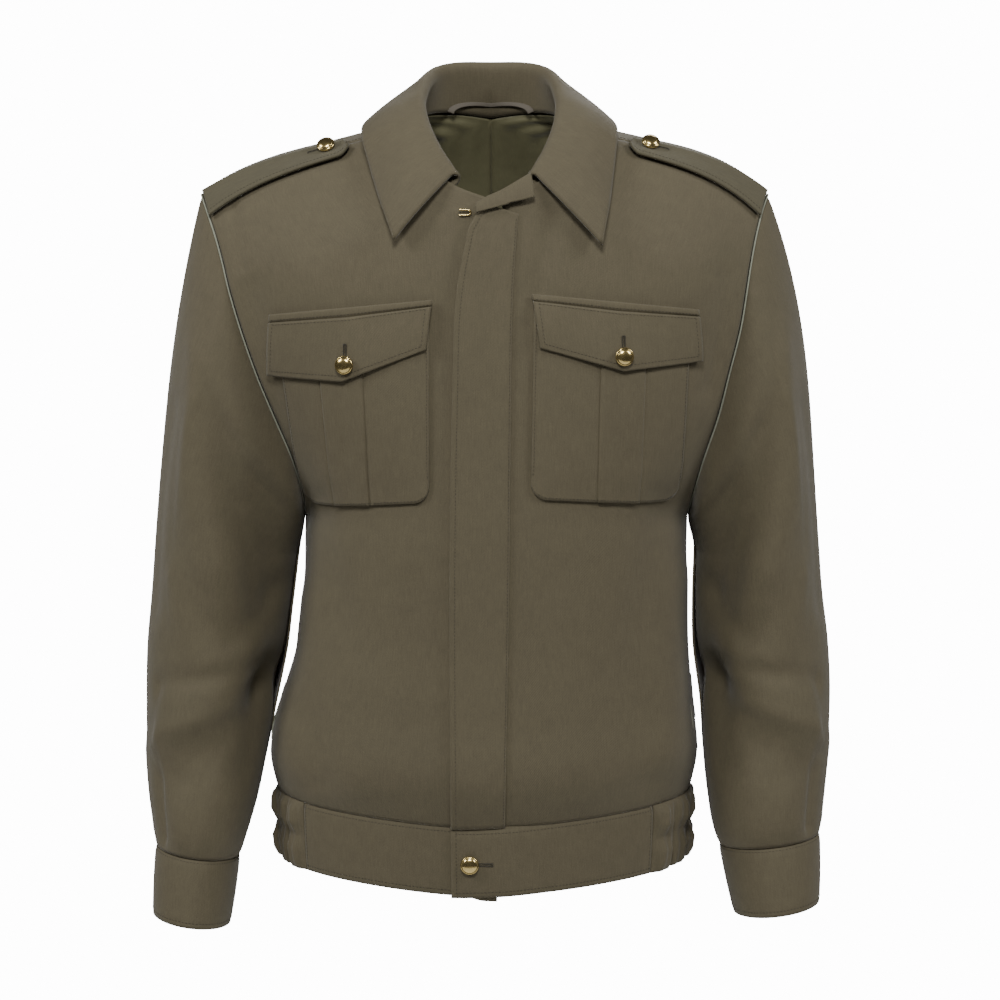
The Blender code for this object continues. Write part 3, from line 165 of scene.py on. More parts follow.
# Sleeve rings below the underarm: z and y of the middle, half depth, drop of the inner side below the
# outer side, and the outer and inner edge of each sleeve from the centre line
SLEEVE = (
    Ring(0.00, -0.372, 0.012, 0.0760, 0.012, 0.2902, 0.1640, 0.2918, 0.1825),
    Ring(0.17, -0.419, 0.013, 0.0750, 0.012, 0.2940, 0.1700, 0.2955, 0.1815),
    Ring(0.34, -0.464, 0.010, 0.0720, 0.012, 0.2978, 0.1762, 0.3005, 0.1830),
    Ring(0.52, -0.509, 0.003, 0.0680, 0.011, 0.2982, 0.1848, 0.3020, 0.1880),
    Ring(0.68, -0.550, -0.008, 0.0630, 0.010, 0.2965, 0.1925, 0.2995, 0.1900),
    Ring(0.84, -0.591, -0.020, 0.0570, 0.010, 0.2925, 0.2010, 0.2945, 0.1935),
    Ring(0.95, -0.620, -0.029, 0.0500, 0.010, 0.2880, 0.2095, 0.2910, 0.1980),
    Ring(1.00, -0.6340, -0.032, 0.0455, 0.011, 0.2870, 0.2140, 0.2903, 0.2025),
)

CUFF_BOTTOM = Ring(1.00, -0.6905, -0.044, 0.0445, 0.011, 0.2886, 0.2215, 0.2890, 0.2145)

Fold = namedtuple("Fold", "start_turn start_down end_turn end_down depth width")

# Long soft folds of a sleeve: turn is the share of the way round from the underarm over the front, down
# is 0 at the armhole, 1 at the underarm ring and 2 at the cuff; a trough has a negative depth
SLEEVE_FOLDS = (
    Fold(0.36, 0.35, 0.22, 1.05, 0.0045, 0.045),
    Fold(0.24, 0.45, 0.12, 1.10, -0.0060, 0.045),
    Fold(0.10, 1.30, 0.30, 1.60, 0.0055, 0.050),
    Fold(0.06, 1.42, 0.24, 1.74, -0.0055, 0.045),
    Fold(0.66, 0.40, 0.80, 1.05, -0.0060, 0.050),
    Fold(0.90, 1.30, 0.72, 1.62, 0.0050, 0.050),
    Fold(0.34, 1.78, 0.34, 1.97, -0.0045, 0.035),
    Fold(0.62, 1.72, 0.62, 1.97, -0.0045, 0.035),
)

# Smaller creases of the sleeves, near the elbow, the cuff and the underarm
SLEEVE_CREASES = (
    Fold(0.13, 0.50, 0.07, 1.40, -0.0100, 0.060),
    Fold(0.30, 0.45, 0.20, 1.15, 0.0030, 0.030),
    Fold(0.045, 1.40, 0.10, 1.70, -0.0050, 0.040),
    Fold(0.12, 1.36, 0.34, 1.46, -0.0030, 0.022),
    Fold(0.16, 1.50, 0.36, 1.66, 0.0026, 0.020),
    Fold(0.30, 1.10, 0.22, 1.34, 0.0024, 0.030),
    Fold(0.42, 0.60, 0.40, 1.20, -0.0026, 0.034),
    Fold(0.05, 1.10, 0.16, 1.26, -0.0034, 0.026),
    Fold(0.16, 0.75, 0.10, 1.15, 0.0026, 0.024),
    Fold(0.78, 1.36, 0.60, 1.46, -0.0028, 0.024),
    Fold(0.84, 0.60, 0.90, 1.10, 0.0026, 0.028),
    Fold(0.70, 1.56, 0.86, 1.68, 0.0022, 0.024),
    Fold(0.22, 1.72, 0.26, 1.94, 0.0016, 0.022),
    Fold(0.46, 1.70, 0.48, 1.94, 0.0016, 0.024),
)

Edge = namedtuple("Edge", "at edge_x seam_x")

# Placket, by height: the closing edge, which swings away towards the neck, and the seam edge
PLACKET = (
    Edge(-0.5920, -0.0290, 0.0165),
    Edge(-0.3960, -0.0296, 0.0200),
    Edge(-0.2400, -0.0272, 0.0215),
    Edge(-0.1710, -0.0248, 0.0225),
    Edge(-0.1230, -0.0174, 0.0245),
    Edge(-0.1000, -0.0115, 0.0262),
    Edge(-0.0870, -0.0020, 0.0270),
    Edge(-0.0790, 0.0140, 0.0275),
)

PLACKET_SWING_UP = 0.70
PLACKET_TOP_UP = 0.828
PLACKET_FOOT_UP = 0.0025

Leaf = namedtuple("Leaf", "at roll_x roll_y roll_z leaf_across leaf_up stand_off bulge")

# Collar along the neck edge of the front and of the back: the roll line, and where on the body panel the
# edge of the fall lies
COLLAR_FRONT = (
    Leaf(0.88, 0.0320, -0.0885, -0.0540, 0.345, 0.822, 0.0060, 0.004),
    Leaf(0.92, 0.0465, -0.0640, -0.0290, 0.268, 0.895, 0.0055, 0.005),
    Leaf(0.96, 0.0555, -0.0370, -0.0070, 0.220, 0.950, 0.0060, 0.005),
    Leaf(1.00, 0.0600, -0.0100, 0.0130, 0.188, 1.000, 0.0065, 0.0035),
)
COLLAR_BACK = (
    Leaf(0.92, 0.0000, 0.0745, 0.0508, 0.000, 0.865, 0.0045, 0.003),
    Leaf(0.94, 0.0300, 0.0670, 0.0500, 0.175, 0.884, 0.0060, 0.003),
    Leaf(0.96, 0.0480, 0.0520, 0.0445, 0.226, 0.930, 0.0070, 0.002),
    Leaf(0.98, 0.0565, 0.0250, 0.0325, 0.200, 0.970, 0.0070, 0.002),
    Leaf(1.00, 0.0600, -0.0100, 0.0130, 0.188, 1.000, 0.0065, 0.0035),
)
ROLL_RADIUS = 0.0022

Pocket = namedtuple("Pocket", "side in_top_x in_top_z out_top_x out_top_z in_low_x in_low_z out_low_x "
                              "out_low_z pleat_in_x pleat_out_x")
POCKETS = (
    Pocket(1, 0.0405, -0.1630, 0.1705, -0.1760, 0.0380, -0.3220, 0.1640, -0.3290, 0.0965, 0.1335),
    Pocket(-1, -0.0465, -0.1680, -0.1745, -0.1810, -0.0465, -0.3250, -0.1560, -0.3325, -0.1035, -0.1405),
)
POCKET_CORNER = 0.014
POCKET_CORNER_FROM = 0.75
POCKET_GAP = 0.0007
PLEAT_STEP = 0.0012
PLEAT_EDGE = 0.0006

Flap = namedtuple("Flap", "side in_top_x in_top_z out_top_x out_top_z in_low_x in_low_z tip_x tip_z "
                          "out_low_x out_low_z button_x button_z")
FLAPS = (
    Flap(1, 0.0385, -0.1530, 0.1765, -0.1660, 0.0450, -0.1975, 0.1130, -0.2165, 0.1800, -0.2085,
         0.1128, -0.2047),
    Flap(-1, -0.0435, -0.1580, -0.1795, -0.1700, -0.0485, -0.1990, -0.1166, -0.2250, -0.1825, -0.2205,
         -0.1141, -0.2113),
)
FLAP_HEIGHT = 0.045
WELT_SHARE = 0.13
WELT_OUT = 0.0042
FLAP_OUT = 0.0052
TIP_LIFT = 0.0030

# Shoulder strap, across the shoulder seam
STRAP_INNER = 0.290
STRAP_OUTER = 0.988
STRAP_HALF_WIDTH = 0.0240
STRAP_END_HALF_WIDTH = 0.0200
STRAP_ROUND = 0.10
STRAP_BLUNT = 0.90
STRAP_OFF = 0.0010
STRAP_EDGE_LIFT = 0.0028
STRAP_BUTTON = 0.385

# Loop and hook at the neck
LOOP_HALF_SPAN = 0.0355
LOOP_HEIGHT = 0.0115
LOOP_WIDTH = 0.0055
LOOP_FOOT = -0.0010
LOOP_SLACK = 0.0020
LOOP_INWARD = 0.0040
LOOP_END_INWARD = 0.0026
LOOP_TILT = 0.0020
HOOK_X = -0.0165
HOOK_Z = -0.0860
HOOK_WIRE = 0.0007
HOOK_OFF = 0.0003
HOOK_SPRING = 0.15

Bend = namedtuple("Bend", "x z")
HOOK_OUTLINE = (
    Bend(-0.0050, -0.0022),
    Bend(0.0030, -0.0022),
    Bend(0.0044, -0.0012),
    Bend(0.0048, 0.0000),
    Bend(0.0044, 0.0012),
    Bend(0.0030, 0.0022),
    Bend(-0.0050, 0.0022),
)

# Back lining
LINING_GAP = 0.0014
LINING_REACH = 0.90
LINING_BOTTOM = 0.002
LINING_TOP = 0.995


def read(table, name, at, corner=None):
    """One named column of a table, read smoothly along its first column, with a corner if one is given."""
    at = np.asarray(at, float)
    places = np.array([row.at for row in table])
    values = np.array([getattr(row, name) for row in table], float)
    steps = np.diff(places)
    straight = np.diff(values) / steps
    smooth = np.gradient(values, places)
    leave = smooth[:-1].copy()
    arrive = smooth[1:].copy()
    if corner is not None:
        k = int(np.argmin(np.abs(places - corner)))
        arrive[k - 1] = straight[k - 1]
        leave[k] = straight[k]
    k = np.clip(np.searchsorted(places, at, side="right") - 1, 0, len(steps) - 1)
    u = (at - places[k]) / steps[k]
    return ((1 + 2 * u) * (1 - u) ** 2 * values[k] + u * (1 - u) ** 2 * steps[k] * leave[k]
            + u * u * (3 - 2 * u) * values[k + 1] + u * u * (u - 1) * steps[k] * arrive[k])


def unit(vectors):
    return vectors / np.maximum(np.linalg.norm(vectors, axis=-1, keepdims=True), 1e-12)


def lengths_along(points):
    """How far along a line of points each of them lies."""
    return np.concatenate([[0.0], np.cumsum(np.linalg.norm(np.diff(points, axis=0), axis=1))])


def at_lengths(places, lengths, values):
    """The points, or normals, that lie at given lengths along a line."""
    return np.stack([np.interp(places, lengths, values[:, k]) for k in range(3)], axis=-1)


def smooth_step(value):
    value = np.clip(value, 0.0, 1.0)
    return value * value * (3 - 2 * value)


def body_point(table, side, across, up):
    """A point of half a body panel: across runs from the centre to the side, up from waist to shoulder."""
    across, up = np.broadcast_arrays(np.asarray(across, float), np.asarray(up, float))
    neck = FRONT_NECK if table is FRONT else BACK_NECK
    inner = np.stack([read(table, "in_" + c, up, neck) for c in "xyz"], axis=-1)
    outer = np.stack([read(table, "out_" + c, up, UNDERARM) for c in "xyz"], axis=-1)
    chord = np.hypot(outer[..., 0] - inner[..., 0], outer[..., 1] - inner[..., 1])
    in_turn = np.radians(read(table, "in_turn", up))
    out_turn = np.radians(read(table, "out_turn", up))
    in_reach = read(table, "in_pull", up) * chord
    out_reach = read(table, "out_pull", up) * chord
    third = (outer[..., 2] - inner[..., 2]) / 3
    leave = inner + np.stack([np.cos(in_turn) * in_reach, np.sin(in_turn) * in_reach, third], axis=-1)
    rise = read(table, "out_rise", up)
    if side < 0:
        rise = rise - RIGHT_SHOULDER_DROP * smooth_step((up - 0.84) / 0.16)
    arrive = outer - np.stack([np.cos(out_turn) * out_reach, np.sin(out_turn) * out_reach, third - rise],
                              axis=-1)
    s = across[..., None]
    point = (1 - s) ** 3 * inner + 3 * (1 - s) ** 2 * s * leave + 3 * (1 - s) * s * s * arrive + s ** 3 * outer
    lean = read(table, "in_lean", up) * (1 - across) + read(table, "out_lean", up) * across
    point[..., 0] = side * point[..., 0] + lean
    if table is FRONT:
        middle = np.exp(-(point[..., 0] / SAG_HALF_WIDTH) ** 2)
        point[..., 2] -= WAIST_SAG * middle * (1 - smooth_step(up / SAG_UP))
    return point


# Step of a slope, how far a front reaches past its centre line, and the front's size as a first guess
PROBE = 1e-4
LAP_REACH = -0.35
FRONT_SPAN = 0.2
FRONT_DROP = 0.594
SEARCH_ROUNDS = 25
HALVINGS = 40


def body_normal(table, side, across, up):
    """The outward normal of a body panel."""
    along = body_point(table, side, across + PROBE, up) - body_point(table, side, across - PROBE, up)
    rising = body_point(table, side, across, up + PROBE) - body_point(table, side, across, up - PROBE)
    outward = side if table is FRONT else -side
    return unit(np.cross(along, rising)) * outward


def find_on_front(side, x, z):
    """The across and up of the points of a front that lie at x and z in the front view."""
    x, z = np.broadcast_arrays(np.asarray(x, float), np.asarray(z, float))
    across = np.clip(side * x / FRONT_SPAN, -0.1, 0.9)
    up = np.clip((z + FRONT_DROP) / FRONT_DROP, 0.02, 0.9)
    for _ in range(SEARCH_ROUNDS):
        here = body_point(FRONT, side, across, up)
        along = (body_point(FRONT, side, across + PROBE, up) - here) / PROBE
        rising = (body_point(FRONT, side, across, up + PROBE) - here) / PROBE
        miss_x = x - here[..., 0]
        miss_z = z - here[..., 2]
        spread = along[..., 0] * rising[..., 2] - rising[..., 0] * along[..., 2]
        across = across + np.clip((miss_x * rising[..., 2] - rising[..., 0] * miss_z) / spread, -0.15, 0.15)
        up = up + np.clip((along[..., 0] * miss_z - miss_x * along[..., 2]) / spread, -0.15, 0.15)
        across = np.clip(across, LAP_REACH, 1.0)
        up = np.clip(up, 0.0, 1.0)
    return across, up


def across_at_x(table, side, x, up):
    """Where a row of a panel passes a given x."""
    up = np.asarray(up, float)
    low = np.full(up.shape, LAP_REACH)
    high = np.full(up.shape, 1.0)
    for _ in range(HALVINGS):
        middle = (low + high) / 2
        short = side * (body_point(table, side, middle, up)[..., 0] - x) < 0
        low = np.where(short, middle, low)
        high = np.where(short, high, middle)
    return (low + high) / 2


def metres(name, description, default):
    return FloatProperty(name=name, description=description, default=default, precision=5, subtype="DISTANCE",
                         unit="LENGTH")


def colour(name, description, default):
    return FloatVectorProperty(name=name, description=description, default=default, size=3, min=0.0, max=1.0,
                               subtype="COLOR")


class JacketSizes(bpy.types.PropertyGroup):
    """Sizes of the cloth and of what is sewn on it."""

    cloth: metres("Cloth", "Thickness of one layer of gabardine", 0.0016)
    doubled: metres("Doubled cloth", "Thickness where cloth is folded double", 0.0024)
    lining: metres("Lining", "Thickness of the lining", 0.0010)
    seam_dip: metres("Seam dip", "How far cloth sinks beside a seam", 0.0009)
    seam_width: metres("Seam width", "How far from a seam the cloth starts to sink", 0.0035)
    stitch_pitch: metres("Stitch pitch", "Distance from one stitch to the next", 0.0030)
    stitch_length: metres("Stitch length", "Length of the thread that shows in a stitch", 0.0024)
    thread: metres("Thread", "Thickness of the sewing thread", 0.00050)
    edge_inset: metres("Edge stitching", "How far the stitching lies inside an edge", 0.0046)
    piping: metres("Piping", "Radius of the piping in the armhole seams", 0.00075)
    twill: metres("Twill pitch", "Distance between two ridges of the twill", 0.0011)
    crease: FloatProperty(name="Creases", description="Depth of the creases, as a share of the drawn ones",
                          default=1.5, min=0.0, max=3.0, subtype="FACTOR")
    button_steps: IntProperty(name="Button steps", description="Segments round a button", default=48, min=12)


class JacketColours(bpy.types.PropertyGroup):
    """Colours of the cloths, threads and metal."""

    gabardine: colour("Gabardine", "Olive wool of the jacket", (0.120, 0.101, 0.058))
    strap: colour("Straps", "Olive wool of the shoulder straps", (0.104, 0.092, 0.053))
    satin: colour("Lining", "Dark green satin of the lining", (0.175, 0.165, 0.092))
    loop: colour("Loop", "Grey brown band of the hanger loop", (0.130, 0.112, 0.085))
    # Olive thread, kept far darker than the cloth as painted shade of the dimples the stitches sink into
    thread: colour("Thread", "Olive sewing thread", (0.052, 0.044, 0.026))
    piping: colour("Piping", "Pale grey green piping", (0.300, 0.310, 0.235))
    brass: colour("Brass", "Yellow brass of the buttons and the hook", (0.830, 0.640, 0.270))
    floor: colour("Floor", "Pale studio floor", (0.860, 0.860, 0.850))


# What is seen of each cut piece, as width and length of flat cloth
Cut = namedtuple("Cut", "width length share")

Crease = namedtuple("Crease", "x z end_x end_z depth width")

# Soft creases of the fronts, seen from the front, on both sides of the closing
FRONT_CREASES = (
    Crease(-0.150, -0.330, -0.125, -0.420, -0.0024, 0.040),
    Crease(-0.158, -0.420, -0.170, -0.520, 0.0018, 0.034),
    Crease(-0.172, -0.470, -0.140, -0.560, -0.0020, 0.036),
    Crease(-0.105, -0.480, -0.120, -0.590, 0.0014, 0.042),
    Crease(-0.060, -0.400, -0.052, -0.590, -0.0010, 0.040),
    Crease(-0.200, -0.150, -0.190, -0.240, -0.0022, 0.030),
    Crease(-0.214, -0.080, -0.208, -0.130, -0.0012, 0.010),
    Crease(0.155, -0.330, 0.130, -0.430, -0.0026, 0.042),
    Crease(0.168, -0.400, 0.150, -0.540, 0.0020, 0.036),
    Crease(0.120, -0.470, 0.140, -0.585, -0.0016, 0.040),
    Crease(0.070, -0.420, 0.085, -0.590, 0.0010, 0.044),
    Crease(0.205, -0.140, 0.196, -0.230, -0.0020, 0.030),
    Crease(0.110, -0.060, 0.150, -0.100, -0.0012, 0.040),
    Crease(-0.100, -0.060, -0.140, -0.110, -0.0012, 0.040),
    Crease(0.052, -0.095, 0.045, -0.150, -0.0022, 0.022),
)
BACK_CREASES = (
    Crease(-0.160, -0.340, -0.090, -0.440, -0.0030, 0.046),
    Crease(-0.165, -0.430, -0.110, -0.560, 0.0024, 0.040),
    Crease(-0.080, -0.440, -0.070, -0.585, -0.0022, 0.040),
    Crease(-0.010, -0.400, 0.006, -0.585, 0.0018, 0.050),
    Crease(0.075, -0.430, 0.062, -0.585, -0.0022, 0.040),
    Crease(0.168, -0.330, 0.100, -0.430, -0.0030, 0.046),
    Crease(0.165, -0.440, 0.120, -0.560, 0.0024, 0.040),
    Crease(-0.190, -0.150, -0.150, -0.250, -0.0024, 0.040),
    Crease(0.190, -0.150, 0.150, -0.240, -0.0024, 0.040),
    Crease(-0.040, -0.150, 0.045, -0.160, -0.0014, 0.050),
)


def crease_height(table, x, z):
    """How far the soft creases of a panel stand out at a place seen from the front."""
    height = np.zeros(np.broadcast(x, z).shape)
    for crease in FRONT_CREASES if table is FRONT else BACK_CREASES:
        run = np.array([crease.end_x - crease.x, crease.end_z - crease.z])
        share = np.clip(((x - crease.x) * run[0] + (z - crease.z) * run[1]) / (run @ run), 0.0, 1.0)
        away = np.hypot(x - crease.x - share * run[0], z - crease.z - share * run[1])
        height = height + crease.depth * np.exp(-(2 * away / crease.width) ** 2)
    return height * sizes().crease


def sizes():
    return bpy.context.scene.jacket_sizes


def colours():
    return bpy.context.scene.jacket_colours


# Over what share of a panel its creases fade out towards the waist and the side
WAIST_FADE = 0.05
SIDE_FADE = 0.10


def body_offset(table, side, across, up, out):
    """A point of a body panel with its creases, moved out along its normal."""
    across, up = np.broadcast_arrays(np.asarray(across, float), np.asarray(up, float))
    point = body_point(table, side, across, up)
    fade = smooth_step(up / WAIST_FADE) * smooth_step((1 - across) / SIDE_FADE)
    out = np.asarray(out) + crease_height(table, point[..., 0], point[..., 2]) * fade
    return point + body_normal(table, side, across, up) * out[..., None]


def refine(rows, parts):
    """Rows with each stretch between two of them split into equal parts."""
    rows = np.asarray(rows, float)
    stretches = [np.linspace(a, b, parts, endpoint=False) for a, b in zip(rows, rows[1:])]
    return np.concatenate(stretches + [rows[-1:]])


def sunk(distance):
    """How far cloth sinks at a distance from its seam."""
    return -sizes().seam_dip * np.exp(-(distance / sizes().seam_width) ** 2)


# The rows that the solids' panels and armholes are divided by
LOWER_ROWS = np.array([0.0, 0.03, 0.06, 0.10, 0.16, 0.23, 0.31, 0.39, UNDERARM])
FRONT_CHEST_ROWS = 8
BACK_CHEST_ROWS = 10
NECK_ROWS = 4


def front_rows():
    beside = np.linspace(UNDERARM, FRONT_NECK, FRONT_CHEST_ROWS + 1)
    tab = [(FRONT_NECK + COLLAR_END) / 2]
    neck = np.linspace(COLLAR_END, 1.0, NECK_ROWS + 1)
    return np.concatenate([LOWER_ROWS, beside[1:], tab, neck])


def back_rows():
    beside = np.linspace(UNDERARM, BACK_NECK, BACK_CHEST_ROWS + 1)
    neck = np.linspace(BACK_NECK, 1.0, NECK_ROWS + 1)
    return np.concatenate([LOWER_ROWS, beside[1:], neck[1:]])


HALF_PANEL = 0.24
PANEL_LENGTH = 0.60
PANEL_PARTS = 5
PANEL_COLUMNS = 65


def front_points(side):
    """The outer face of a front, its lap under the placket and the corner of its neck included."""
    up = refine(front_rows(), PANEL_PARTS)
    edge_x = LEFT_FRONT_EDGE_X if side > 0 else RIGHT_FRONT_EDGE_X
    start = across_at_x(FRONT, side, edge_x, up)
    fading = np.clip((COLLAR_END - up) / (COLLAR_END - FRONT_NECK), 0.0, 1.0)
    lap = across_at_x(FRONT, side, edge_x, np.array([FRONT_NECK]))[0]
    start = np.where(up > FRONT_NECK, lap * fading, start)
    share = np.linspace(0.0, 1.0, PANEL_COLUMNS)
    across = start[:, None] + (1 - start[:, None]) * share[None, :]
    up = up[:, None]
    return body_offset(FRONT, side, across, up, panel_sink(across, up, FRONT_NECK))


def panel_sink(across, up, neck):
    """The sink of a body panel beside its side, waist and shoulder seams."""
    side_seam = sunk((1 - across) * HALF_PANEL)
    waist = sunk(up * PANEL_LENGTH)
    shoulder = np.where(up > neck, sunk((1 - up) * PANEL_LENGTH), 0.0)
    return side_seam + waist + shoulder


# How far apart the inner edges of the back's halves can lie and still be joined
CENTRE_REACH = 0.001


def back_points():
    """The outer faces of the back's halves, which part at the neck."""
    up = refine(back_rows(), PANEL_PARTS)[:, None]
    share = np.linspace(0.0, 1.0, PANEL_COLUMNS)[None, :]
    left = body_offset(BACK, 1, share, up, panel_sink(share, up, BACK_NECK))
    right = body_offset(BACK, -1, share, up, panel_sink(share, up, BACK_NECK))
    meeting = np.abs(left[:, 0] - right[:, 0]).max(axis=1) < CENTRE_REACH
    left[meeting, 0] = right[meeting, 0] = (left[meeting, 0] + right[meeting, 0]) / 2
    return left, right


def armhole_up(turn):
    """The table and the place up its armhole edge for a share of the way round from the underarm."""
    front_places = front_rows()[len(LOWER_ROWS) - 1:]
    back_places = back_rows()[len(LOWER_ROWS) - 1:]
    steps = np.linspace(0.0, 0.5, len(front_places))
    front_up = np.interp(turn, steps, front_places)
    back_up = np.interp(1.0 - turn, steps, back_places)
    return front_up, back_up


def armhole_point(side, turn):
    front_up, back_up = armhole_up(turn)
    front_edge = body_point(FRONT, side, 1.0, front_up)
    back_edge = body_point(BACK, side, 1.0, back_up)
    return np.where((turn <= 0.5)[..., None], front_edge, back_edge)


def armhole_angle(side, turn):
    """The angle round the sleeve that a place on the armhole leads to, by its length along the seam."""
    places = np.linspace(0.0, 1.0, 201)
    edge = armhole_point(side, places)
    lengths = lengths_along(edge)
    half = lengths[100]
    angles = np.where(lengths <= half, lengths / half, 1 + (lengths - half) / (lengths[-1] - half)) * math.pi
    return np.interp(turn, places, angles)


RING_SIZES = {1: ("left_out", "left_in", "y", "depth", "z", "slope"),
              -1: ("right_out", "right_in", "y", "depth", "z", "slope")}


def ring_place(side, angle, ring, lift):
    """A point of a sleeve ring: angle 0 is the side towards the body, a quarter turn is the front."""
    outer, inner, y, depth, z, slope = ring
    x = (outer + inner) / 2 - (outer - inner) / 2 * np.cos(angle)
    return np.stack([side * x, y - depth * np.sin(angle), z + lift - slope / 2 * np.cos(angle)], axis=-1)


def ring_point(side, angle, at):
    """A point of the sleeve ring at a share of the way from the underarm to the cuff."""
    lift = LEFT_SLEEVE_LIFT * np.clip(at, 0.0, 1.0) if side > 0 else 0.0
    return ring_place(side, angle, [read(SLEEVE, name, at) for name in RING_SIZES[side]], lift)


def fold_height(folds, turn, down):
    """How far the long folds of a sleeve stand out at a place."""
    height = np.zeros(np.broadcast(turn, down).shape)
    for fold in folds:
        start = np.array([fold.start_turn * SLEEVE_GIRTH, fold.start_down * SLEEVE_STRETCH])
        run = np.array([fold.end_turn * SLEEVE_GIRTH, fold.end_down * SLEEVE_STRETCH]) - start
        round_way = turn * SLEEVE_GIRTH - start[0]
        down_way = down * SLEEVE_STRETCH - start[1]
        share = np.clip((round_way * run[0] + down_way * run[1]) / (run @ run), 0.0, 1.0)
        away = np.hypot(round_way - share * run[0], down_way - share * run[1])
        height = height + fold.depth * np.exp(-(2 * away / fold.width) ** 2)
    return height


def sleeve_point(side, turn, down):
    """A point of a sleeve: down is 0 at the armhole, 1 at the ring below the underarm and 2 at the cuff."""
    turn, down = np.broadcast_arrays(np.asarray(turn, float), np.asarray(down, float))
    angle = armhole_angle(side, turn)
    seam = armhole_point(side, turn)
    first = ring_point(side, angle, np.zeros_like(turn))
    next_ring = ring_point(side, angle, np.full_like(turn, 0.04))
    reach = HEAD_PULL * np.linalg.norm(first - seam, axis=-1, keepdims=True)
    spread = HEAD_SPREAD_LEFT if side > 0 else HEAD_SPREAD_RIGHT
    leave = unit(np.stack([side * spread * (1 - 0.8 * np.cos(angle)), -0.35 * np.sin(angle),
                           np.full_like(angle, -0.92)], axis=-1))
    s = np.clip(down, 0.0, 1.0)[..., None]
    head = ((1 - s) ** 3 * seam + 3 * (1 - s) ** 2 * s * (seam + leave * reach)
            + 3 * (1 - s) * s * s * (first - unit(next_ring - first) * reach) + s ** 3 * first)
    tube = ring_point(side, angle, np.clip(down - 1.0, 0.0, 1.0))
    point = np.where((down <= 1.0)[..., None], head, tube)
    fade = smooth_step(down / 0.35) * smooth_step((2.0 - down) / 0.05)
    height = (fold_height(SLEEVE_FOLDS, turn, down) + fold_height(SLEEVE_CREASES, turn, down)) * fade
    outward = np.stack([-side * np.cos(angle), -np.sin(angle), np.zeros_like(angle)], axis=-1)
    return point + outward * height[..., None]


def cuff_point(side, turn, down):
    angle = armhole_angle(side, turn)
    top = ring_point(side, angle, np.ones_like(angle))
    lift = LEFT_SLEEVE_LIFT if side > 0 else 0.0
    bottom = ring_place(side, angle, [getattr(CUFF_BOTTOM, name) for name in RING_SIZES[side]], lift)
    return top + (bottom - top) * np.asarray(down)[..., None]


# Grid of a sleeve and its cuff, where the sleeve ends short of the cuff, and the cuff's roundness
TUBE_COLUMNS = 109
HEAD_ROWS = 60
TUBE_ROWS = 90
SLEEVE_END = 1.998
CUFF_ROWS = 22
CUFF_ROUND = 0.0006


def sleeve_points(side):
    """The outer face of a sleeve, from the armhole to the cuff seam, closed round at the underarm."""
    turn = np.linspace(0.0, 1.0, TUBE_COLUMNS)[None, :]
    head = np.linspace(0.0, 1.0, HEAD_ROWS)
    down = np.concatenate([head, np.linspace(1.0, SLEEVE_END, TUBE_ROWS)[1:]])[:, None]
    points = sleeve_point(side, turn, down)
    outward = tube_normals(points, side)
    armhole = sunk(down * SLEEVE_STRETCH)
    cuff_seam = sunk((2.0 - down) * SLEEVE_STRETCH)
    return points + outward * (armhole + cuff_seam)[..., None]


def tube_normals(points, side):
    """The outward normals of a tube whose columns run round from the underarm over the front."""
    closed = np.concatenate([points[:, -2:-1], points, points[:, 1:2]], axis=1)
    round_way = closed[:, 2:] - closed[:, :-2]
    down_way = np.gradient(points, axis=0)
    return unit(np.cross(down_way, round_way)) * side


def cuff_points(side):
    turn = np.linspace(0.0, 1.0, TUBE_COLUMNS)[None, :]
    down = np.linspace(0.0, 1.0, CUFF_ROWS)[:, None]
    turn, down = np.broadcast_arrays(turn, down)
    points = cuff_point(side, turn, down)
    outward = tube_normals(points, side)
    round_over = CUFF_ROUND * np.sin(np.pi * down)
    out = sunk(down * BAND_HEIGHT) * 1.2 + round_over + sunk((1 - down) * BAND_HEIGHT) * 0.4
    return points + outward * out[..., None]


# Rows of the collar's stand, roll and fall, and where the shoulder seam begins
STAND_STEPS = 8
ROLL_STEPS = 8
FALL_STEPS = 18
AT_SHOULDER = 0.999


def collar_section(table, side, up):
    """The inner face of a section of the collar, from the neck seam over the roll to its outer edge."""
    leaf_table = COLLAR_FRONT if table is FRONT else COLLAR_BACK
    lean = read(table, "in_lean", up)
    base = body_point(table, side, 0.0, up)
    roll = np.array([side * read(leaf_table, "roll_x", up) + lean, read(leaf_table, "roll_y", up),
                     read(leaf_table, "roll_z", up)])
    across = read(leaf_table, "leaf_across", up)
    leaf_up = read(leaf_table, "leaf_up", up)
    away = body_normal(table, side, across, leaf_up)
    if up > AT_SHOULDER:
        away = unit(body_normal(FRONT, side, across, 1.0) + body_normal(BACK, side, across, 1.0))
    edge = body_point(table, side, across, leaf_up) + away * read(leaf_table, "stand_off", up)
    doubled = sizes().doubled
    rising = unit(roll - base)
    spread = edge - roll
    spread = unit(spread - rising * (spread @ rising))
    centre = roll - rising * (ROLL_RADIUS + doubled)
    turns = np.linspace(math.pi, 0.0, ROLL_STEPS + 1)
    arc = [centre + (spread * math.cos(t) + rising * math.sin(t)) * ROLL_RADIUS for t in turns]
    stand = [base + (arc[0] - base) * s for s in np.linspace(0.0, 1.0, STAND_STEPS, endpoint=False)]
    bulge = away * read(leaf_table, "bulge", up)
    fall = [arc[-1] + (edge - arc[-1]) * s + bulge * 4 * s * (1 - s)
            for s in np.linspace(0.0, 1.0, FALL_STEPS + 1)[1:]]
    return np.array(stand + arc + fall)


# Sections of a collar half, how far it stops from the centre back, and its smoothing
FRONT_SECTIONS = 33
BACK_SECTIONS = 41
NECK_CLEAR = 0.0005
COLLAR_SMOOTHING = 5
STAND_FIXED_ROWS = 6
LEAF_COLUMNS = 24
LEAF_ROW = 17

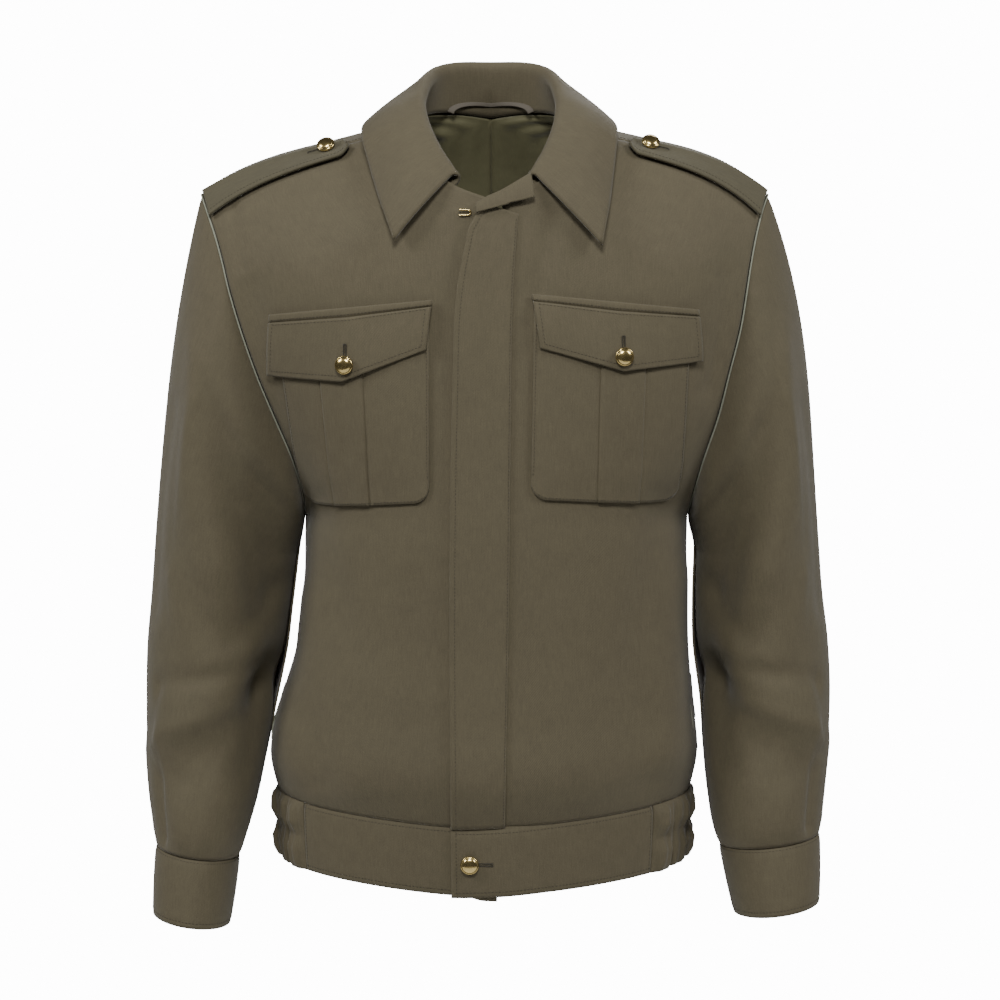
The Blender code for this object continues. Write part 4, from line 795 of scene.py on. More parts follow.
# How far each front point of the fall lies from its place on the solid, in x and z: right, then left
COLLAR_TIPS = ((0.0035, -0.0010), (0.0060, -0.0050))


def collar_points():
    """The seen face of the collar, from its right front end round the neck to its left front end."""
    front_up = np.linspace(COLLAR_END, 1.0, FRONT_SECTIONS)
    back_up = np.linspace(1.0, BACK_NECK + NECK_CLEAR, BACK_SECTIONS)
    sections = [collar_section(FRONT, -1, up) for up in front_up]
    sections += [collar_section(BACK, -1, up) for up in back_up[1:]]
    sections += [collar_section(BACK, 1, up) for up in back_up[::-1]]
    sections += [collar_section(FRONT, 1, up) for up in front_up[-2::-1]]
    inner = np.array(sections).transpose(1, 0, 2)
    for _ in range(COLLAR_SMOOTHING):
        inner[:, 1:-1] = inner[:, 1:-1] * 0.5 + (inner[:, :-2] + inner[:, 2:]) * 0.25
        first = STAND_FIXED_ROWS
        inner[first:-1] = inner[first:-1] * 0.5 + (inner[first - 1:-2] + inner[first + 1:]) * 0.25
    inner = straight_leaf(straight_leaf(inner, COLLAR_TIPS[0])[:, ::-1], COLLAR_TIPS[1])[:, ::-1]
    normals = unit(np.cross(np.gradient(inner, axis=1), np.gradient(inner, axis=0)))
    return inner + normals * sizes().doubled


def straight_leaf(inner, tip):
    """Straightens the outer edge of the fall beside its front point, and sets the point."""
    reach = LEAF_COLUMNS
    share = np.linspace(0.0, 1.0, reach + 1)
    edge = inner[-1, :reach + 1].copy()
    line = (edge[0] + np.array([tip[0], 0.0, tip[1]])) * (1 - share[:, None]) + edge[-1] * share[:, None]
    shift = (line - edge) * np.array([1.0, 0.0, 1.0])
    rows = inner.shape[0]
    down = np.clip((np.arange(rows) - LEAF_ROW) / (rows - 1 - LEAF_ROW), 0.0, 1.0)[:, None, None] ** 1.5
    moved = inner.copy()
    moved[:, :reach + 1] += shift[None] * down
    return moved


# Grid of the fly strip, and the groove that its stitching draws in
PLACKET_ROWS = 100
PLACKET_TOP_ROWS = 45
PLACKET_COLUMNS = 22
PLACKET_GROOVE = 0.00030
PLACKET_GROOVE_WIDTH = 0.0010


def placket_points():
    """The outer face of the fly strip, rounded over at its closing edge and sunk along its seam."""
    lower = np.linspace(PLACKET_FOOT_UP, PLACKET_SWING_UP, PLACKET_ROWS)
    up = np.concatenate([lower, np.linspace(PLACKET_SWING_UP, PLACKET_TOP_UP, PLACKET_TOP_ROWS)[1:]])
    z = body_point(FRONT, 1, 0.0, up)[:, 2]
    edge = read(PLACKET, "edge_x", z)[:, None]
    seam = read(PLACKET, "seam_x", z)[:, None]
    share = np.linspace(0.0, 1.0, PLACKET_COLUMNS)[None, :]
    x = edge + (seam - edge) * share
    thick = sizes().doubled - (sizes().doubled - sizes().cloth) * share
    width = np.abs(seam - edge)
    inset = sizes().edge_inset
    groove = -PLACKET_GROOVE * np.exp(-((share * width - inset) / PLACKET_GROOVE_WIDTH) ** 2)
    out = LAYER_GAP + thick + groove + sunk((1 - share) * width) * 0.5
    up = np.repeat(up[:, None], share.shape[1], axis=1)
    across = across_at_x(FRONT, 1, x, up)
    return body_offset(FRONT, 1, across, up, out)


# How far up a panel the waistband takes its direction from
JUST_ABOVE_WAIST = 0.001


def band_point(table, side, across, down, out):
    """A point of the waistband below the waist seam, moved out."""
    across, down = np.broadcast_arrays(np.asarray(across, float), np.asarray(down, float))
    top = body_point(table, side, across, np.zeros_like(across))
    outward = body_normal(table, side, across, np.full_like(across, JUST_ABOVE_WAIST))
    outward[..., 2] = 0.0
    point = top + unit(outward) * np.asarray(out)[..., None]
    narrow = 1 - (1 - BAND_TAPER) * down
    point[..., 0] *= narrow
    point[..., 1] *= narrow
    point[..., 2] -= SEAM_GAP / 2 + (BAND_HEIGHT - SEAM_GAP / 2) * down
    return point


# How far the end of the underlap drops, and over what width
UNDERLAP_DROP = 0.0035
UNDERLAP_FADE = 0.020

# How far the band reaches up behind the cloth above it, as a share of its height, and how deep
BAND_TUCK = 0.040
BAND_ROUND = 0.0007
TUCK_DEPTH = 0.0024
BAND_ROWS = 24
BAND_COLUMNS = 70
BACK_BAND_COLUMNS = 100


def band_swell(down):
    """The slight roundness of the folded waistband between its seam and its turned edge."""
    round_over = BAND_ROUND * np.sin(np.pi * np.clip(down, 0.0, 1.0))
    seams = sunk(down * BAND_HEIGHT) * 1.3 + round_over + sunk((1 - down) * BAND_HEIGHT) * 0.5
    return seams + band_tuck(down)


def band_rows():
    """Rows of a band piece, the first ones tucked up behind the cloth above the waist seam."""
    return np.concatenate([[-BAND_TUCK, -BAND_TUCK / 3], np.linspace(0.0, 1.0, BAND_ROWS)])


def band_tuck(down):
    return -TUCK_DEPTH * np.clip(-down / BAND_TUCK, 0.0, 1.0)


def waist_across(table, side, x):
    """How far across a panel the waist seam reaches a front-view x."""
    return across_at_x(table, side, x, np.array([0.0]))[0]


def band_front_points(side):
    start_x, end_x = ((CLOSING_END_X, ELASTIC_START_LEFT_X) if side > 0
                      else (UNDERLAP_END_X, ELASTIC_START_RIGHT_X))
    across = np.linspace(waist_across(FRONT, side, start_x), waist_across(FRONT, side, end_x) - BAND_JOIN,
                         BAND_COLUMNS)[None, :]
    across, down = np.broadcast_arrays(across, band_rows()[:, None])
    x = body_point(FRONT, side, across, np.zeros_like(across))[..., 0]
    over = 1 - smooth_step((x - LAP_FULL_X) / LAP_FADE) if side > 0 else np.zeros_like(x)
    raised = (sizes().doubled + BAND_LAP_GAP) * over
    points = band_point(FRONT, side, across, down, raised + band_swell(down))
    if side < 0:
        points[..., 2] -= UNDERLAP_DROP * smooth_step((x + UNDERLAP_FADE) / UNDERLAP_FADE) * down
    return points


def band_back_points():
    left_end = waist_across(BACK, 1, ELASTIC_BACK_X) - BAND_JOIN
    right_end = waist_across(BACK, -1, -ELASTIC_BACK_X) - BAND_JOIN
    shares = np.linspace(-right_end, left_end, BACK_BAND_COLUMNS)
    down = band_rows()
    columns = [band_point(BACK, 1 if s >= 0 else -1, abs(s), down, band_swell(down)) for s in shares]
    return np.array(columns).transpose(1, 0, 2)


# The gathers: how far they wander, how round and uneven they are, their ripple and their fade at the ends
GATHER_WANDER = 0.018
GATHER_ROUND = 0.75
GATHER_UNEVEN = 0.28
GATHER_RIPPLE = 0.0010
GATHER_FADE = 0.02
ELASTIC_COLUMNS = 141


def elastic_points(side):
    """The gathered side of the waistband, its gathers uneven and pinched in the middle."""
    start_x = ELASTIC_START_LEFT_X if side > 0 else ELASTIC_START_RIGHT_X
    front_start = waist_across(FRONT, side, start_x) + BAND_JOIN
    back_start = waist_across(BACK, side, side * ELASTIC_BACK_X) + BAND_JOIN
    down = band_rows()
    fullness = np.interp(down, [row.down for row in GATHER_ROWS], [row.fullness for row in GATHER_ROWS])
    columns = []
    for share in np.linspace(0.0, 1.0, ELASTIC_COLUMNS):
        if share <= ELASTIC_SIDE_SEAM:
            table = FRONT
            across = front_start + (1 - front_start) * share / ELASTIC_SIDE_SEAM
        else:
            table = BACK
            across = 1 + (back_start - 1) * (share - ELASTIC_SIDE_SEAM) / (1 - ELASTIC_SIDE_SEAM)
        wander = GATHER_WANDER * np.sin(2.2 * np.pi * down + 9 * share) * np.sin(np.pi * share)
        wave = np.abs(np.sin(math.pi * GATHERS * (share + wander))) ** GATHER_ROUND
        uneven = 1 + GATHER_UNEVEN * math.sin(23 * share + side)
        ripple = GATHER_RIPPLE * np.sin(math.pi * 5 * GATHERS * share + 3 * down)
        ends = min(1.0, share / GATHER_FADE, (1 - share) / GATHER_FADE)
        out = GATHER_DEPTH * wave * fullness * uneven * ends + ripple * fullness * ends + band_tuck(down)
        columns.append(band_point(table, side, across, down, out))
    return np.array(columns).transpose(1, 0, 2)


def with_edges(values, extra):
    """Evenly spread values, with extra ones between them."""
    return np.unique(np.round(np.concatenate([values, extra]), 6))


# Grid of a breast pocket
POCKET_COLUMNS = 56
POCKET_ROWS = 60

# Its soft swell inside the stitched edge, the groove of the stitching, and the folds and valley of its pleat
POCKET_SWELL = 0.0010
POCKET_SWELL_WIDTH = 0.03
POCKET_STITCH = 0.0022
POCKET_GROOVE = 0.0002
POCKET_GROOVE_WIDTH = 0.0008
PLEAT_GROOVE = 0.0007
PLEAT_GROOVE_WIDTH = 0.0010
PLEAT_VALLEY = 0.0006
PLEAT_VALLEY_WIDTH = 0.004
PLEAT_VALLEY_FADE = 0.4


def pocket_points(pocket):
    """The outer face of a patch pocket with its box pleat and rounded lower corners."""
    width = abs(pocket.out_top_x - pocket.in_top_x)
    pleat_in = abs(pocket.pleat_in_x - pocket.in_top_x) / width
    pleat_out = abs(pocket.pleat_out_x - pocket.in_top_x) / width
    edge = PLEAT_EDGE / width
    near = np.array([-2.0, -1.0, -0.5, 0.0, 0.5, 1.0, 2.0]) * edge
    beside_folds = np.concatenate([pleat_in + near, pleat_out + near])
    share = with_edges(np.linspace(0.0, 1.0, POCKET_COLUMNS), beside_folds)
    u, v = np.meshgrid(share, np.linspace(0.0, 1.0, POCKET_ROWS))
    inner_x = pocket.in_top_x + (pocket.in_low_x - pocket.in_top_x) * v
    outer_x = pocket.out_top_x + (pocket.out_low_x - pocket.out_top_x) * v
    top_z = pocket.in_top_z + (pocket.out_top_z - pocket.in_top_z) * u
    low_z = pocket.in_low_z + (pocket.out_low_z - pocket.in_low_z) * u
    x = inner_x + (outer_x - inner_x) * u
    z = top_z + (low_z - top_z) * v
    from_side = np.minimum(u, 1 - u) * width
    round_up = 1 - np.sqrt(1 - np.clip(1 - from_side / POCKET_CORNER, 0.0, 1.0) ** 2 * 0.96)
    z = z + POCKET_CORNER * round_up * smooth_step((v - POCKET_CORNER_FROM) / (1 - POCKET_CORNER_FROM))
    over = smooth_step((u - pleat_in + edge) / (2 * edge)) * smooth_step((pleat_out + edge - u) / (2 * edge))
    below = np.minimum(from_side, (1 - v) * abs(pocket.in_low_z - pocket.in_top_z))
    groove = np.exp(-((below - POCKET_STITCH) / POCKET_GROOVE_WIDTH) ** 2)
    swell = POCKET_SWELL * smooth_step(below / POCKET_SWELL_WIDTH) - POCKET_GROOVE * groove
    fold = -PLEAT_GROOVE * (np.exp(-((u - pleat_in) * width / PLEAT_GROOVE_WIDTH) ** 2)
                            + np.exp(-((u - pleat_out) * width / PLEAT_GROOVE_WIDTH) ** 2))
    middle = (u - (pleat_in + pleat_out) / 2) * width
    valley = -PLEAT_VALLEY * np.exp(-(middle / PLEAT_VALLEY_WIDTH) ** 2) * smooth_step(v / PLEAT_VALLEY_FADE)
    across, up = find_on_front(pocket.side, x, z)
    out = POCKET_GAP + sizes().cloth + PLEAT_STEP * over + swell + valley + fold
    return body_offset(FRONT, pocket.side, across, up, out)


def flap_place(flap, u, v):
    """The front-view place on a flap: u from its inner to its outer end, v from top to lower edge."""
    tip = abs(flap.tip_x - flap.in_low_x) / abs(flap.out_low_x - flap.in_low_x)
    low_x = np.interp(u, [0.0, tip, 1.0], [flap.in_low_x, flap.tip_x, flap.out_low_x])
    low_z = np.interp(u, [0.0, tip, 1.0], [flap.in_low_z, flap.tip_z, flap.out_low_z])
    top_x = flap.in_top_x + (flap.out_top_x - flap.in_top_x) * u
    top_z = flap.in_top_z + (flap.out_top_z - flap.in_top_z) * u
    lift = TIP_LIFT * np.clip(v, 0.0, 1.0) ** 2 * np.exp(-((u - tip) / 0.3) ** 2)
    return top_x + (low_x - top_x) * v, top_z + (low_z - top_z) * v, lift, tip


# Columns of each half of a flap, its rows, and its swell, welt and groove
FLAP_COLUMNS = 32
FLAP_ROWS = 36
FLAP_SWELL = 0.0008
WELT_SWELL = 0.0005
WELT_FADE = 0.025
WELT_GROOVE = 0.0012
WELT_GROOVE_WIDTH = 0.012


def flap_points(flap):
    """The outer face of a pocket flap, with its stitched welt along the top."""
    tip = flap_place(flap, 0.0, 0.0)[3]
    share = np.concatenate([np.linspace(0.0, tip, FLAP_COLUMNS), np.linspace(tip, 1.0, FLAP_COLUMNS)[1:]])
    near = WELT_SHARE + np.array([-0.02, 0.0, 0.008, 0.016, 0.024, 0.04])
    u, v = np.meshgrid(share, with_edges(np.linspace(0.0, 1.0, FLAP_ROWS), near))
    x, z, lift = flap_place(flap, u, v)[:3]
    across, up = find_on_front(flap.side, x, z)
    below = smooth_step((v - WELT_SHARE) / WELT_FADE)
    groove = -WELT_GROOVE * np.exp(-((v - WELT_SHARE) / WELT_GROOVE_WIDTH) ** 2)
    swell = FLAP_SWELL * np.sin(np.pi * np.clip((v - WELT_SHARE) / (1 - WELT_SHARE), 0.0, 1.0))
    welt = WELT_SWELL * np.sin(np.pi * np.clip(v / WELT_SHARE, 0.0, 1.0))
    edge = sunk((1 - v) * FLAP_HEIGHT) * 0.4
    out = WELT_OUT + (FLAP_OUT - WELT_OUT) * below + groove + swell + welt + edge + lift
    return body_offset(FRONT, flap.side, across, up, out)


# From where up the panels, and in how many steps, the way over the shoulder is measured
SHOULDER_FROM = 0.80
SHOULDER_STEPS = 50


def shoulder_point(side, across, over):
    """A point across the shoulder seam: over is the distance from it, below 0 on the front."""
    points = np.zeros(over.shape + (3,))
    for i, place in enumerate(across):
        front_up = np.linspace(SHOULDER_FROM, 1.0, SHOULDER_STEPS)
        back_up = front_up[::-1]
        front_line = body_point(FRONT, side, place, front_up)
        back_line = body_point(BACK, side, place, back_up)
        line = np.concatenate([front_line, back_line[1:]])
        lengths = lengths_along(line)
        points[i] = at_lengths(over[i], lengths - lengths[len(front_up) - 1], line)
    return points


def grid_normals(points, up_axis=2):
    """Unit normals of a grid of points, turned to the positive side of an axis."""
    along = np.gradient(points, axis=0)
    over = np.gradient(points, axis=1)
    normals = unit(np.cross(along, over))
    return normals * np.where(normals[..., up_axis:up_axis + 1] < 0, -1.0, 1.0)


# How far forward of its seat a strap lies, and its grid, finer over its rounded end
STRAP_FORWARD = 0.006
STRAP_FINE = 0.13
STRAP_ROWS = 60
STRAP_COLUMNS = 31


def strap_points(side):
    """The outer face of a shoulder strap, blunt at its inner end, its front edge standing off."""
    near_end = np.linspace(0.0, STRAP_FINE, 22) ** 1.3 / STRAP_FINE ** 0.3
    q = np.concatenate([near_end, np.linspace(STRAP_FINE, 1.0, STRAP_ROWS)[1:]])
    across = STRAP_INNER + (STRAP_OUTER - STRAP_INNER) * q
    half = STRAP_END_HALF_WIDTH + (STRAP_HALF_WIDTH - STRAP_END_HALF_WIDTH) * q
    half = half * np.sqrt(1 - np.clip(1 - q / STRAP_ROUND, 0.0, 1.0) ** 2 * STRAP_BLUNT)
    share = np.linspace(-1.0, 1.0, STRAP_COLUMNS)
    base = shoulder_point(side, across, half[:, None] * share[None, :] - STRAP_FORWARD)
    normals = grid_normals(base)
    stand_off = STRAP_OFF + STRAP_EDGE_LIFT * np.clip(-share, 0.0, 1.0)[None, :] ** 2
    swell = 0.0007 * (1 - share[None, :] ** 4) - 0.0005
    out = np.broadcast_to(stand_off + sizes().doubled + swell, base.shape[:2])
    return base + normals * out[..., None]


# Step of a line on a skin, and what keeps a place inside the last cell of its grid
LINE_STEP = 0.0015
LAST_CELL = 1.000001


def inset_steps(points, last, inset):
    """The row at which each column of a grid comes an inset away from its first or last row."""
    lines = (points[::-1] if last else points).transpose(1, 0, 2)
    steps = np.array([np.interp(inset, lengths_along(line), np.arange(len(line))) for line in lines])
    return len(points) - 1 - steps if last else steps


class Skin:
    """The outer face of a cloth piece, as a grid of points, and the places of what is sewn on it."""

    def __init__(self, points, flip=False, parting=None):
        self.points = points
        self.flip = flip
        self.parting = parting
        across = np.gradient(points, axis=1)
        along = np.gradient(points, axis=0)
        self.normals = unit(np.cross(across, along)) * (-1 if flip else 1)

    def spot(self, row, column, out=0.0):
        """Points and normals at places given in rows and columns, whole or between."""
        row = np.clip(row, 0, self.points.shape[0] - LAST_CELL)
        column = np.clip(column, 0, self.points.shape[1] - LAST_CELL)
        i = np.floor(row).astype(int)
        j = np.floor(column).astype(int)
        a = (row - i)[..., None]
        b = (column - j)[..., None]
        mixed = []
        for values in (self.points, self.normals):
            mixed.append((values[i, j] * (1 - a) + values[i + 1, j] * a) * (1 - b)
                         + (values[i, j + 1] * (1 - a) + values[i + 1, j + 1] * a) * b)
        return mixed[0] + unit(mixed[1]) * out, unit(mixed[1])

    def beside_row(self, last, inset, start=0.0, end=0.0):
        """The line inside the first or the last row, inset from it, cut short at its ends."""
        row = inset_steps(self.points, last, inset)
        return self.cut_line(row, np.arange(len(row), dtype=float), start, end)

    def beside_column(self, last, inset, start=0.0, end=0.0):
        """The line inside the first or the last column, inset from it, cut short at its ends."""
        column = inset_steps(self.points.transpose(1, 0, 2), last, inset)
        return self.cut_line(np.arange(len(column), dtype=float), column, start, end)

    def cut_line(self, row, column, start, end):
        """The line through given rows and columns, in even steps and cut short at its ends."""
        points = self.spot(row, column)[0]
        lengths = lengths_along(points)
        places = np.linspace(start, lengths[-1] - end, max(2, int(lengths[-1] / LINE_STEP)))
        return self.spot(np.interp(places, lengths, row), np.interp(places, lengths, column))


def placed(name, data):
    """A new object in the scene."""
    piece = bpy.data.objects.new(name, data)
    bpy.context.scene.collection.objects.link(piece)
    return piece


def from_work(name, work):
    """A piece made from a finished bmesh."""
    mesh = bpy.data.meshes.new(name)
    work.to_mesh(mesh)
    work.free()
    mesh.shade_smooth()
    return placed(name, mesh)


def lay_cloth(name, skin, thickness, finish, nodes, ring=False):
    """A cloth piece: a bmesh grid laid on a skin, given its thickness, with a UV map in metres."""
    rows, columns = skin.points.shape[:2]
    work = bmesh.new()
    work.loops.layers.uv.new("cloth")
    bmesh.ops.create_grid(work, x_segments=columns - 1, y_segments=rows - 1, size=0.5, calc_uvs=True)
    mesh = bpy.data.meshes.new(name)
    work.to_mesh(mesh)
    work.free()
    places = np.empty(len(mesh.vertices) * 3)
    mesh.vertices.foreach_get("co", places)
    places = places.reshape(-1, 3)
    column = np.rint((places[:, 0] + 0.5) * (columns - 1)).astype(int)
    row = np.rint((places[:, 1] + 0.5) * (rows - 1)).astype(int)
    mesh.vertices.foreach_set("co", skin.points[row, column].ravel())
    way_across = np.linalg.norm(np.diff(skin.points, axis=1), axis=2).mean(axis=0)
    way_along = np.linalg.norm(np.diff(skin.points, axis=0), axis=2).mean(axis=1)
    u = np.concatenate([[0.0], np.cumsum(way_across)])
    v = np.concatenate([[0.0], np.cumsum(way_along)])
    layer = mesh.uv_layers[0].data
    flat = np.empty(len(layer) * 2)
    layer.foreach_get("uv", flat)
    flat = flat.reshape(-1, 2)
    flat[:, 0] = np.interp(flat[:, 0] * (columns - 1), np.arange(columns), u)
    flat[:, 1] = np.interp(flat[:, 1] * (rows - 1), np.arange(rows), v)
    layer.foreach_set("uv", flat.ravel())
    work = bmesh.new()
    work.from_mesh(mesh)
    if skin.parting is not None:
        between = [face for face in work.faces
                   if {int(column[vert.index]) for vert in face.verts} == {skin.parting, skin.parting + 1}]
        bmesh.ops.delete(work, geom=between, context="FACES_ONLY")
    if ring or skin.parting is not None:
        bmesh.ops.remove_doubles(work, verts=work.verts, dist=1e-5)
    if skin.flip:
        bmesh.ops.reverse_faces(work, faces=work.faces)
    work.to_mesh(mesh)
    work.free()
    mesh.update()
    mesh.shade_smooth()
    piece = placed(name, mesh)
    wall = piece.modifiers.new("wall", "SOLIDIFY")
    wall.thickness = thickness
    wall.offset = -1.0
    wall.use_even_offset = False
    wall.use_quality_normals = True
    return dress(piece, finish, nodes)


def dress(piece, finish, nodes=()):
    """Gives a piece its finish, its body and the nodes that it stands for."""
    piece.data.materials.append(finish)
    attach(piece, "root")
    if nodes:
        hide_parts(*nodes)
    return piece


def resampled(line, pitch):
    """Places, tangents and normals at even steps along a line of points and normals."""
    points, normals = line
    lengths = lengths_along(points)
    count = max(1, int(lengths[-1] / pitch))
    middles = (np.arange(count) + 0.5) * lengths[-1] / count
    ahead = at_lengths(middles + pitch / 3, lengths, points)
    behind = at_lengths(middles - pitch / 3, lengths, points)
    normal = unit(at_lengths(middles, lengths, normals))
    return at_lengths(middles, lengths, points), unit(ahead - behind), normal


def thread_place(place, along, normal, length, width):
    """The matrix that lays a unit ball as one stitch of thread."""
    side = unit(np.cross(normal, along))
    normal = np.cross(along, side)
    axes = np.stack([along * length / 2, side * width / 2, normal * width / 2], axis=1)
    matrix = Matrix.Identity(4)
    for i in range(3):
        for j in range(3):
            matrix[i][j] = axes[i][j]
        matrix[i][3] = place[i]
    return matrix


def ball_rows(work, rows, length, width):
    """Lays one ball of thread for each place, direction and normal."""
    for place, along, normal in rows:
        bmesh.ops.create_icosphere(work, subdivisions=1, radius=1.0,
                                   matrix=thread_place(place, along, normal, length, width))


STITCH_SEAT = 0.15


def sew(name, lines, finish):
    """Rows of machine stitches along lines of points and normals, as one joined mesh."""
    work = bmesh.new()
    size = sizes()
    for line in lines:
        rows = [(place + normal * size.thread * STITCH_SEAT, along, normal)
                for place, along, normal in zip(*resampled(line, size.stitch_pitch))]
        ball_rows(work, rows, size.stitch_length, size.thread)
    return dress(from_work(name, work), finish)


class Signal:
    """A shader value that is added to, multiplied and so on like a number."""

    def __init__(self, finish, socket):
        self.finish = finish
        self.socket = socket

    def apply(self, operation, first, second=None):
        values = {0: first} if second is None else {0: first, 1: second}
        return self.finish.node("ShaderNodeMath", {"operation": operation}, values).signal()

    def __add__(self, other):
        return self.apply("ADD", self, other)

    __radd__ = __add__

    def __sub__(self, other):
        return self.apply("SUBTRACT", self, other)

    def __rsub__(self, other):
        return self.apply("SUBTRACT", other, self)

    def __mul__(self, other):
        return self.apply("MULTIPLY", self, other)

    __rmul__ = __mul__

    def __pow__(self, other):
        return self.apply("POWER", self, other)

    def sine(self):
        return self.apply("SINE", self)


class Step:
    """One shader node and its outputs."""

    def __init__(self, finish, node):
        self.finish = finish
        self.node = node

    def signal(self, output=0):
        return Signal(self.finish, self.node.outputs[output])


class Finish:
    """A material under construction: its shader and the nodes that vary it."""

    def __init__(self, name, colour, roughness, metallic=0.0, sheen=0.0):
        self.material = bpy.data.materials.new(name)
        self.material.use_nodes = True
        self.tree = self.material.node_tree
        self.shader = self.tree.nodes["Principled BSDF"]
        self.shader.inputs["Base Color"].default_value = (*colour, 1.0)
        self.shader.inputs["Roughness"].default_value = roughness
        self.shader.inputs["Metallic"].default_value = metallic
        self.shader.inputs["Sheen Weight"].default_value = sheen
        self.shader.inputs["Sheen Roughness"].default_value = 0.45
        self.material.diffuse_color = (*colour, 1.0)

    def node(self, kind, settings=None, values=None):
        node = self.tree.nodes.new(kind)
        for name, value in (settings or {}).items():
            setattr(node, name, value)
        for name, value in (values or {}).items():
            socket = node.inputs[name]
            if isinstance(value, Signal):
                self.tree.links.new(value.socket, socket)
            else:
                socket.default_value = value
        return Step(self, node)

    def feed(self, name, signal):
        self.tree.links.new(signal.socket, self.shader.inputs[name])

    def place(self):
        return self.node("ShaderNodeTexCoord").signal("Object")

    def noise(self, place, scale, detail=2.0, roughness=0.5):
        return self.node("ShaderNodeTexNoise", {},
                         {"Vector": place, "Scale": scale, "Detail": detail, "Roughness": roughness}).signal()

    def blend(self, factor, first, second):
        settings = {"data_type": "RGBA", "blend_type": "MIX"}
        inputs = {0: factor, 6: (*first, 1.0), 7: (*second, 1.0)}
        return self.node("ShaderNodeMix", settings, inputs).signal(2)

    def relief(self, height, strength, distance):
        bump = self.node("ShaderNodeBump", {}, {"Height": height, "Strength": strength, "Distance": distance})
        self.feed("Normal", bump.signal())


def scaled(rgb, factor):
    return tuple(min(1.0, c * factor) for c in rgb)


TWILL_ANGLE = 63.0


def wool(name, rgb, twill_share=0.5, sheen=0.16):
    """Wool gabardine: a steep fine twill, flecked yarn and a soft sheen."""
    finish = Finish(name, rgb, 0.80, sheen=sheen)
    cloth = finish.node("ShaderNodeUVMap", {"uv_map": "cloth"}).signal()
    place = finish.place()
    split = finish.node("ShaderNodeSeparateXYZ", {}, {0: cloth})
    steep = math.radians(TWILL_ANGLE)
    turns = math.tau / sizes().twill
    slant = split.signal("X") * (math.sin(steep) * turns) + split.signal("Y") * (math.cos(steep) * turns)
    twill = slant.sine()
    weft = (split.signal("Y") * (math.tau / (sizes().twill * 0.8))).sine()
    fleck = finish.noise(place, 1400.0, 2.0, 0.6)
    slub = finish.noise(place, 90.0, 3.0, 0.6)
    drawn = finish.node("ShaderNodeMapping", {}, {"Vector": cloth, "Scale": (1.0, 0.06, 1.0)}).signal()
    warp = finish.noise(drawn, 1100.0, 2.0, 0.6)
    cloud = finish.noise(place, 9.0, 2.0, 0.5)
    mix = (0.5 + twill * 0.16 * twill_share + (fleck - 0.5) * 1.5 + (slub - 0.5) * 0.5
           + (cloud - 0.5) * 0.4 + (warp - 0.5) * 0.9)
    finish.feed("Base Color", finish.blend(mix, scaled(rgb, 0.80), scaled(rgb, 1.20)))
    finish.feed("Roughness", 0.74 + fleck * 0.14)
    weave = twill * (0.5 * twill_share) + weft * 0.15 + fleck * 0.9 + slub * 0.6 + warp * 0.8
    finish.relief(weave, 0.45, 0.00024)
    return finish.material


def satin_cloth(name, rgb):
    """Lining satin: smooth and glossy, with faint crumples, painted lighter on their rises and darker in their
    hollows as painted highlight and shade.
    """
    finish = Finish(name, rgb, 0.36, sheen=0.10)
    place = finish.place()
    crumple_with_painted_shade = finish.noise(place, 22.0, 3.0, 0.55)
    fine = finish.noise(place, 700.0, 1.0, 0.5)
    # The colour follows the crumples: painted highlight on their rises, painted shade in their hollows
    finish.feed("Base Color", finish.blend(crumple_with_painted_shade, scaled(rgb, 0.75), scaled(rgb, 1.35)))
    finish.feed("Roughness", 0.30 + fine * 0.16)
    finish.relief(crumple_with_painted_shade + fine * 0.03, 0.5, 0.004)
    return finish.material


def metal(name, rgb):
    """Polished brass with a little handling wear."""
    finish = Finish(name, rgb, 0.20, metallic=1.0)
    place = finish.place()
    wear = finish.noise(place, 260.0, 4.0, 0.6)
    fine = finish.noise(place, 2600.0, 2.0, 0.5)
    finish.feed("Base Color", finish.blend(wear, scaled(rgb, 0.78), scaled(rgb, 1.12)))
    finish.feed("Roughness", 0.13 + wear * 0.16)
    finish.relief(wear * 0.6 + fine * 0.4, 0.25, 0.0002)
    return finish.material


def plain_thread(name, rgb, sheen=0.1):
    """Thread, piping and narrow bands: twisted yarn."""
    finish = Finish(name, rgb, 0.70, sheen=sheen)
    place = finish.place()
    yarn = finish.noise(place, 1800.0, 2.0, 0.6)
    finish.feed("Base Color", finish.blend(yarn, scaled(rgb, 0.72), scaled(rgb, 1.25)))
    finish.relief(yarn, 0.4, 0.0002)
    return finish.material


def pale_floor(name, rgb):
    finish = Finish(name, rgb, 0.9)
    place = finish.place()
    finish.feed("Roughness", 0.85 + finish.noise(place, 3.0) * 0.1)
    return finish.material


FINISHES = {}


def finish_for(kind):
    """The finish of one kind of surface, made once."""
    if kind not in FINISHES:
        shade = colours()
        makers = {
            "gabardine": lambda: wool("gabardine", tuple(shade.gabardine)),
            "strap": lambda: wool("strap_gabardine", tuple(shade.strap)),
            "satin": lambda: satin_cloth("lining_satin", tuple(shade.satin)),
            "loop": lambda: plain_thread("loop_band", tuple(shade.loop), 0.2),
            "brass": lambda: metal("polished_brass", tuple(shade.brass)),
            # The sewing thread's colour carries painted shade of the stitch dimples
            "thread": lambda: plain_thread("sewing_thread_with_painted_shade", tuple(shade.thread)),
            # Buttonhole thread: the sewing thread darkened further, deepening its painted shade
            "dark_thread": lambda: plain_thread("buttonhole_thread_with_painted_shade", scaled(shade.thread, 0.85)),
            "piping": lambda: plain_thread("seam_piping", tuple(shade.piping)),
            "floor": lambda: pale_floor("studio_floor", tuple(shade.floor)),
        }
        FINISHES[kind] = makers[kind]()
    return FINISHES[kind]


# The skins laid so far, by piece, for what is sewn on them
SKINS = {}


def label(side):
    return "left" if side > 0 else "right"


def keep(name, points, flip, parting=None):
    """A skin, kept under a name for what is sewn on it."""
    SKINS[name] = Skin(points, flip, parting)
    return SKINS[name]


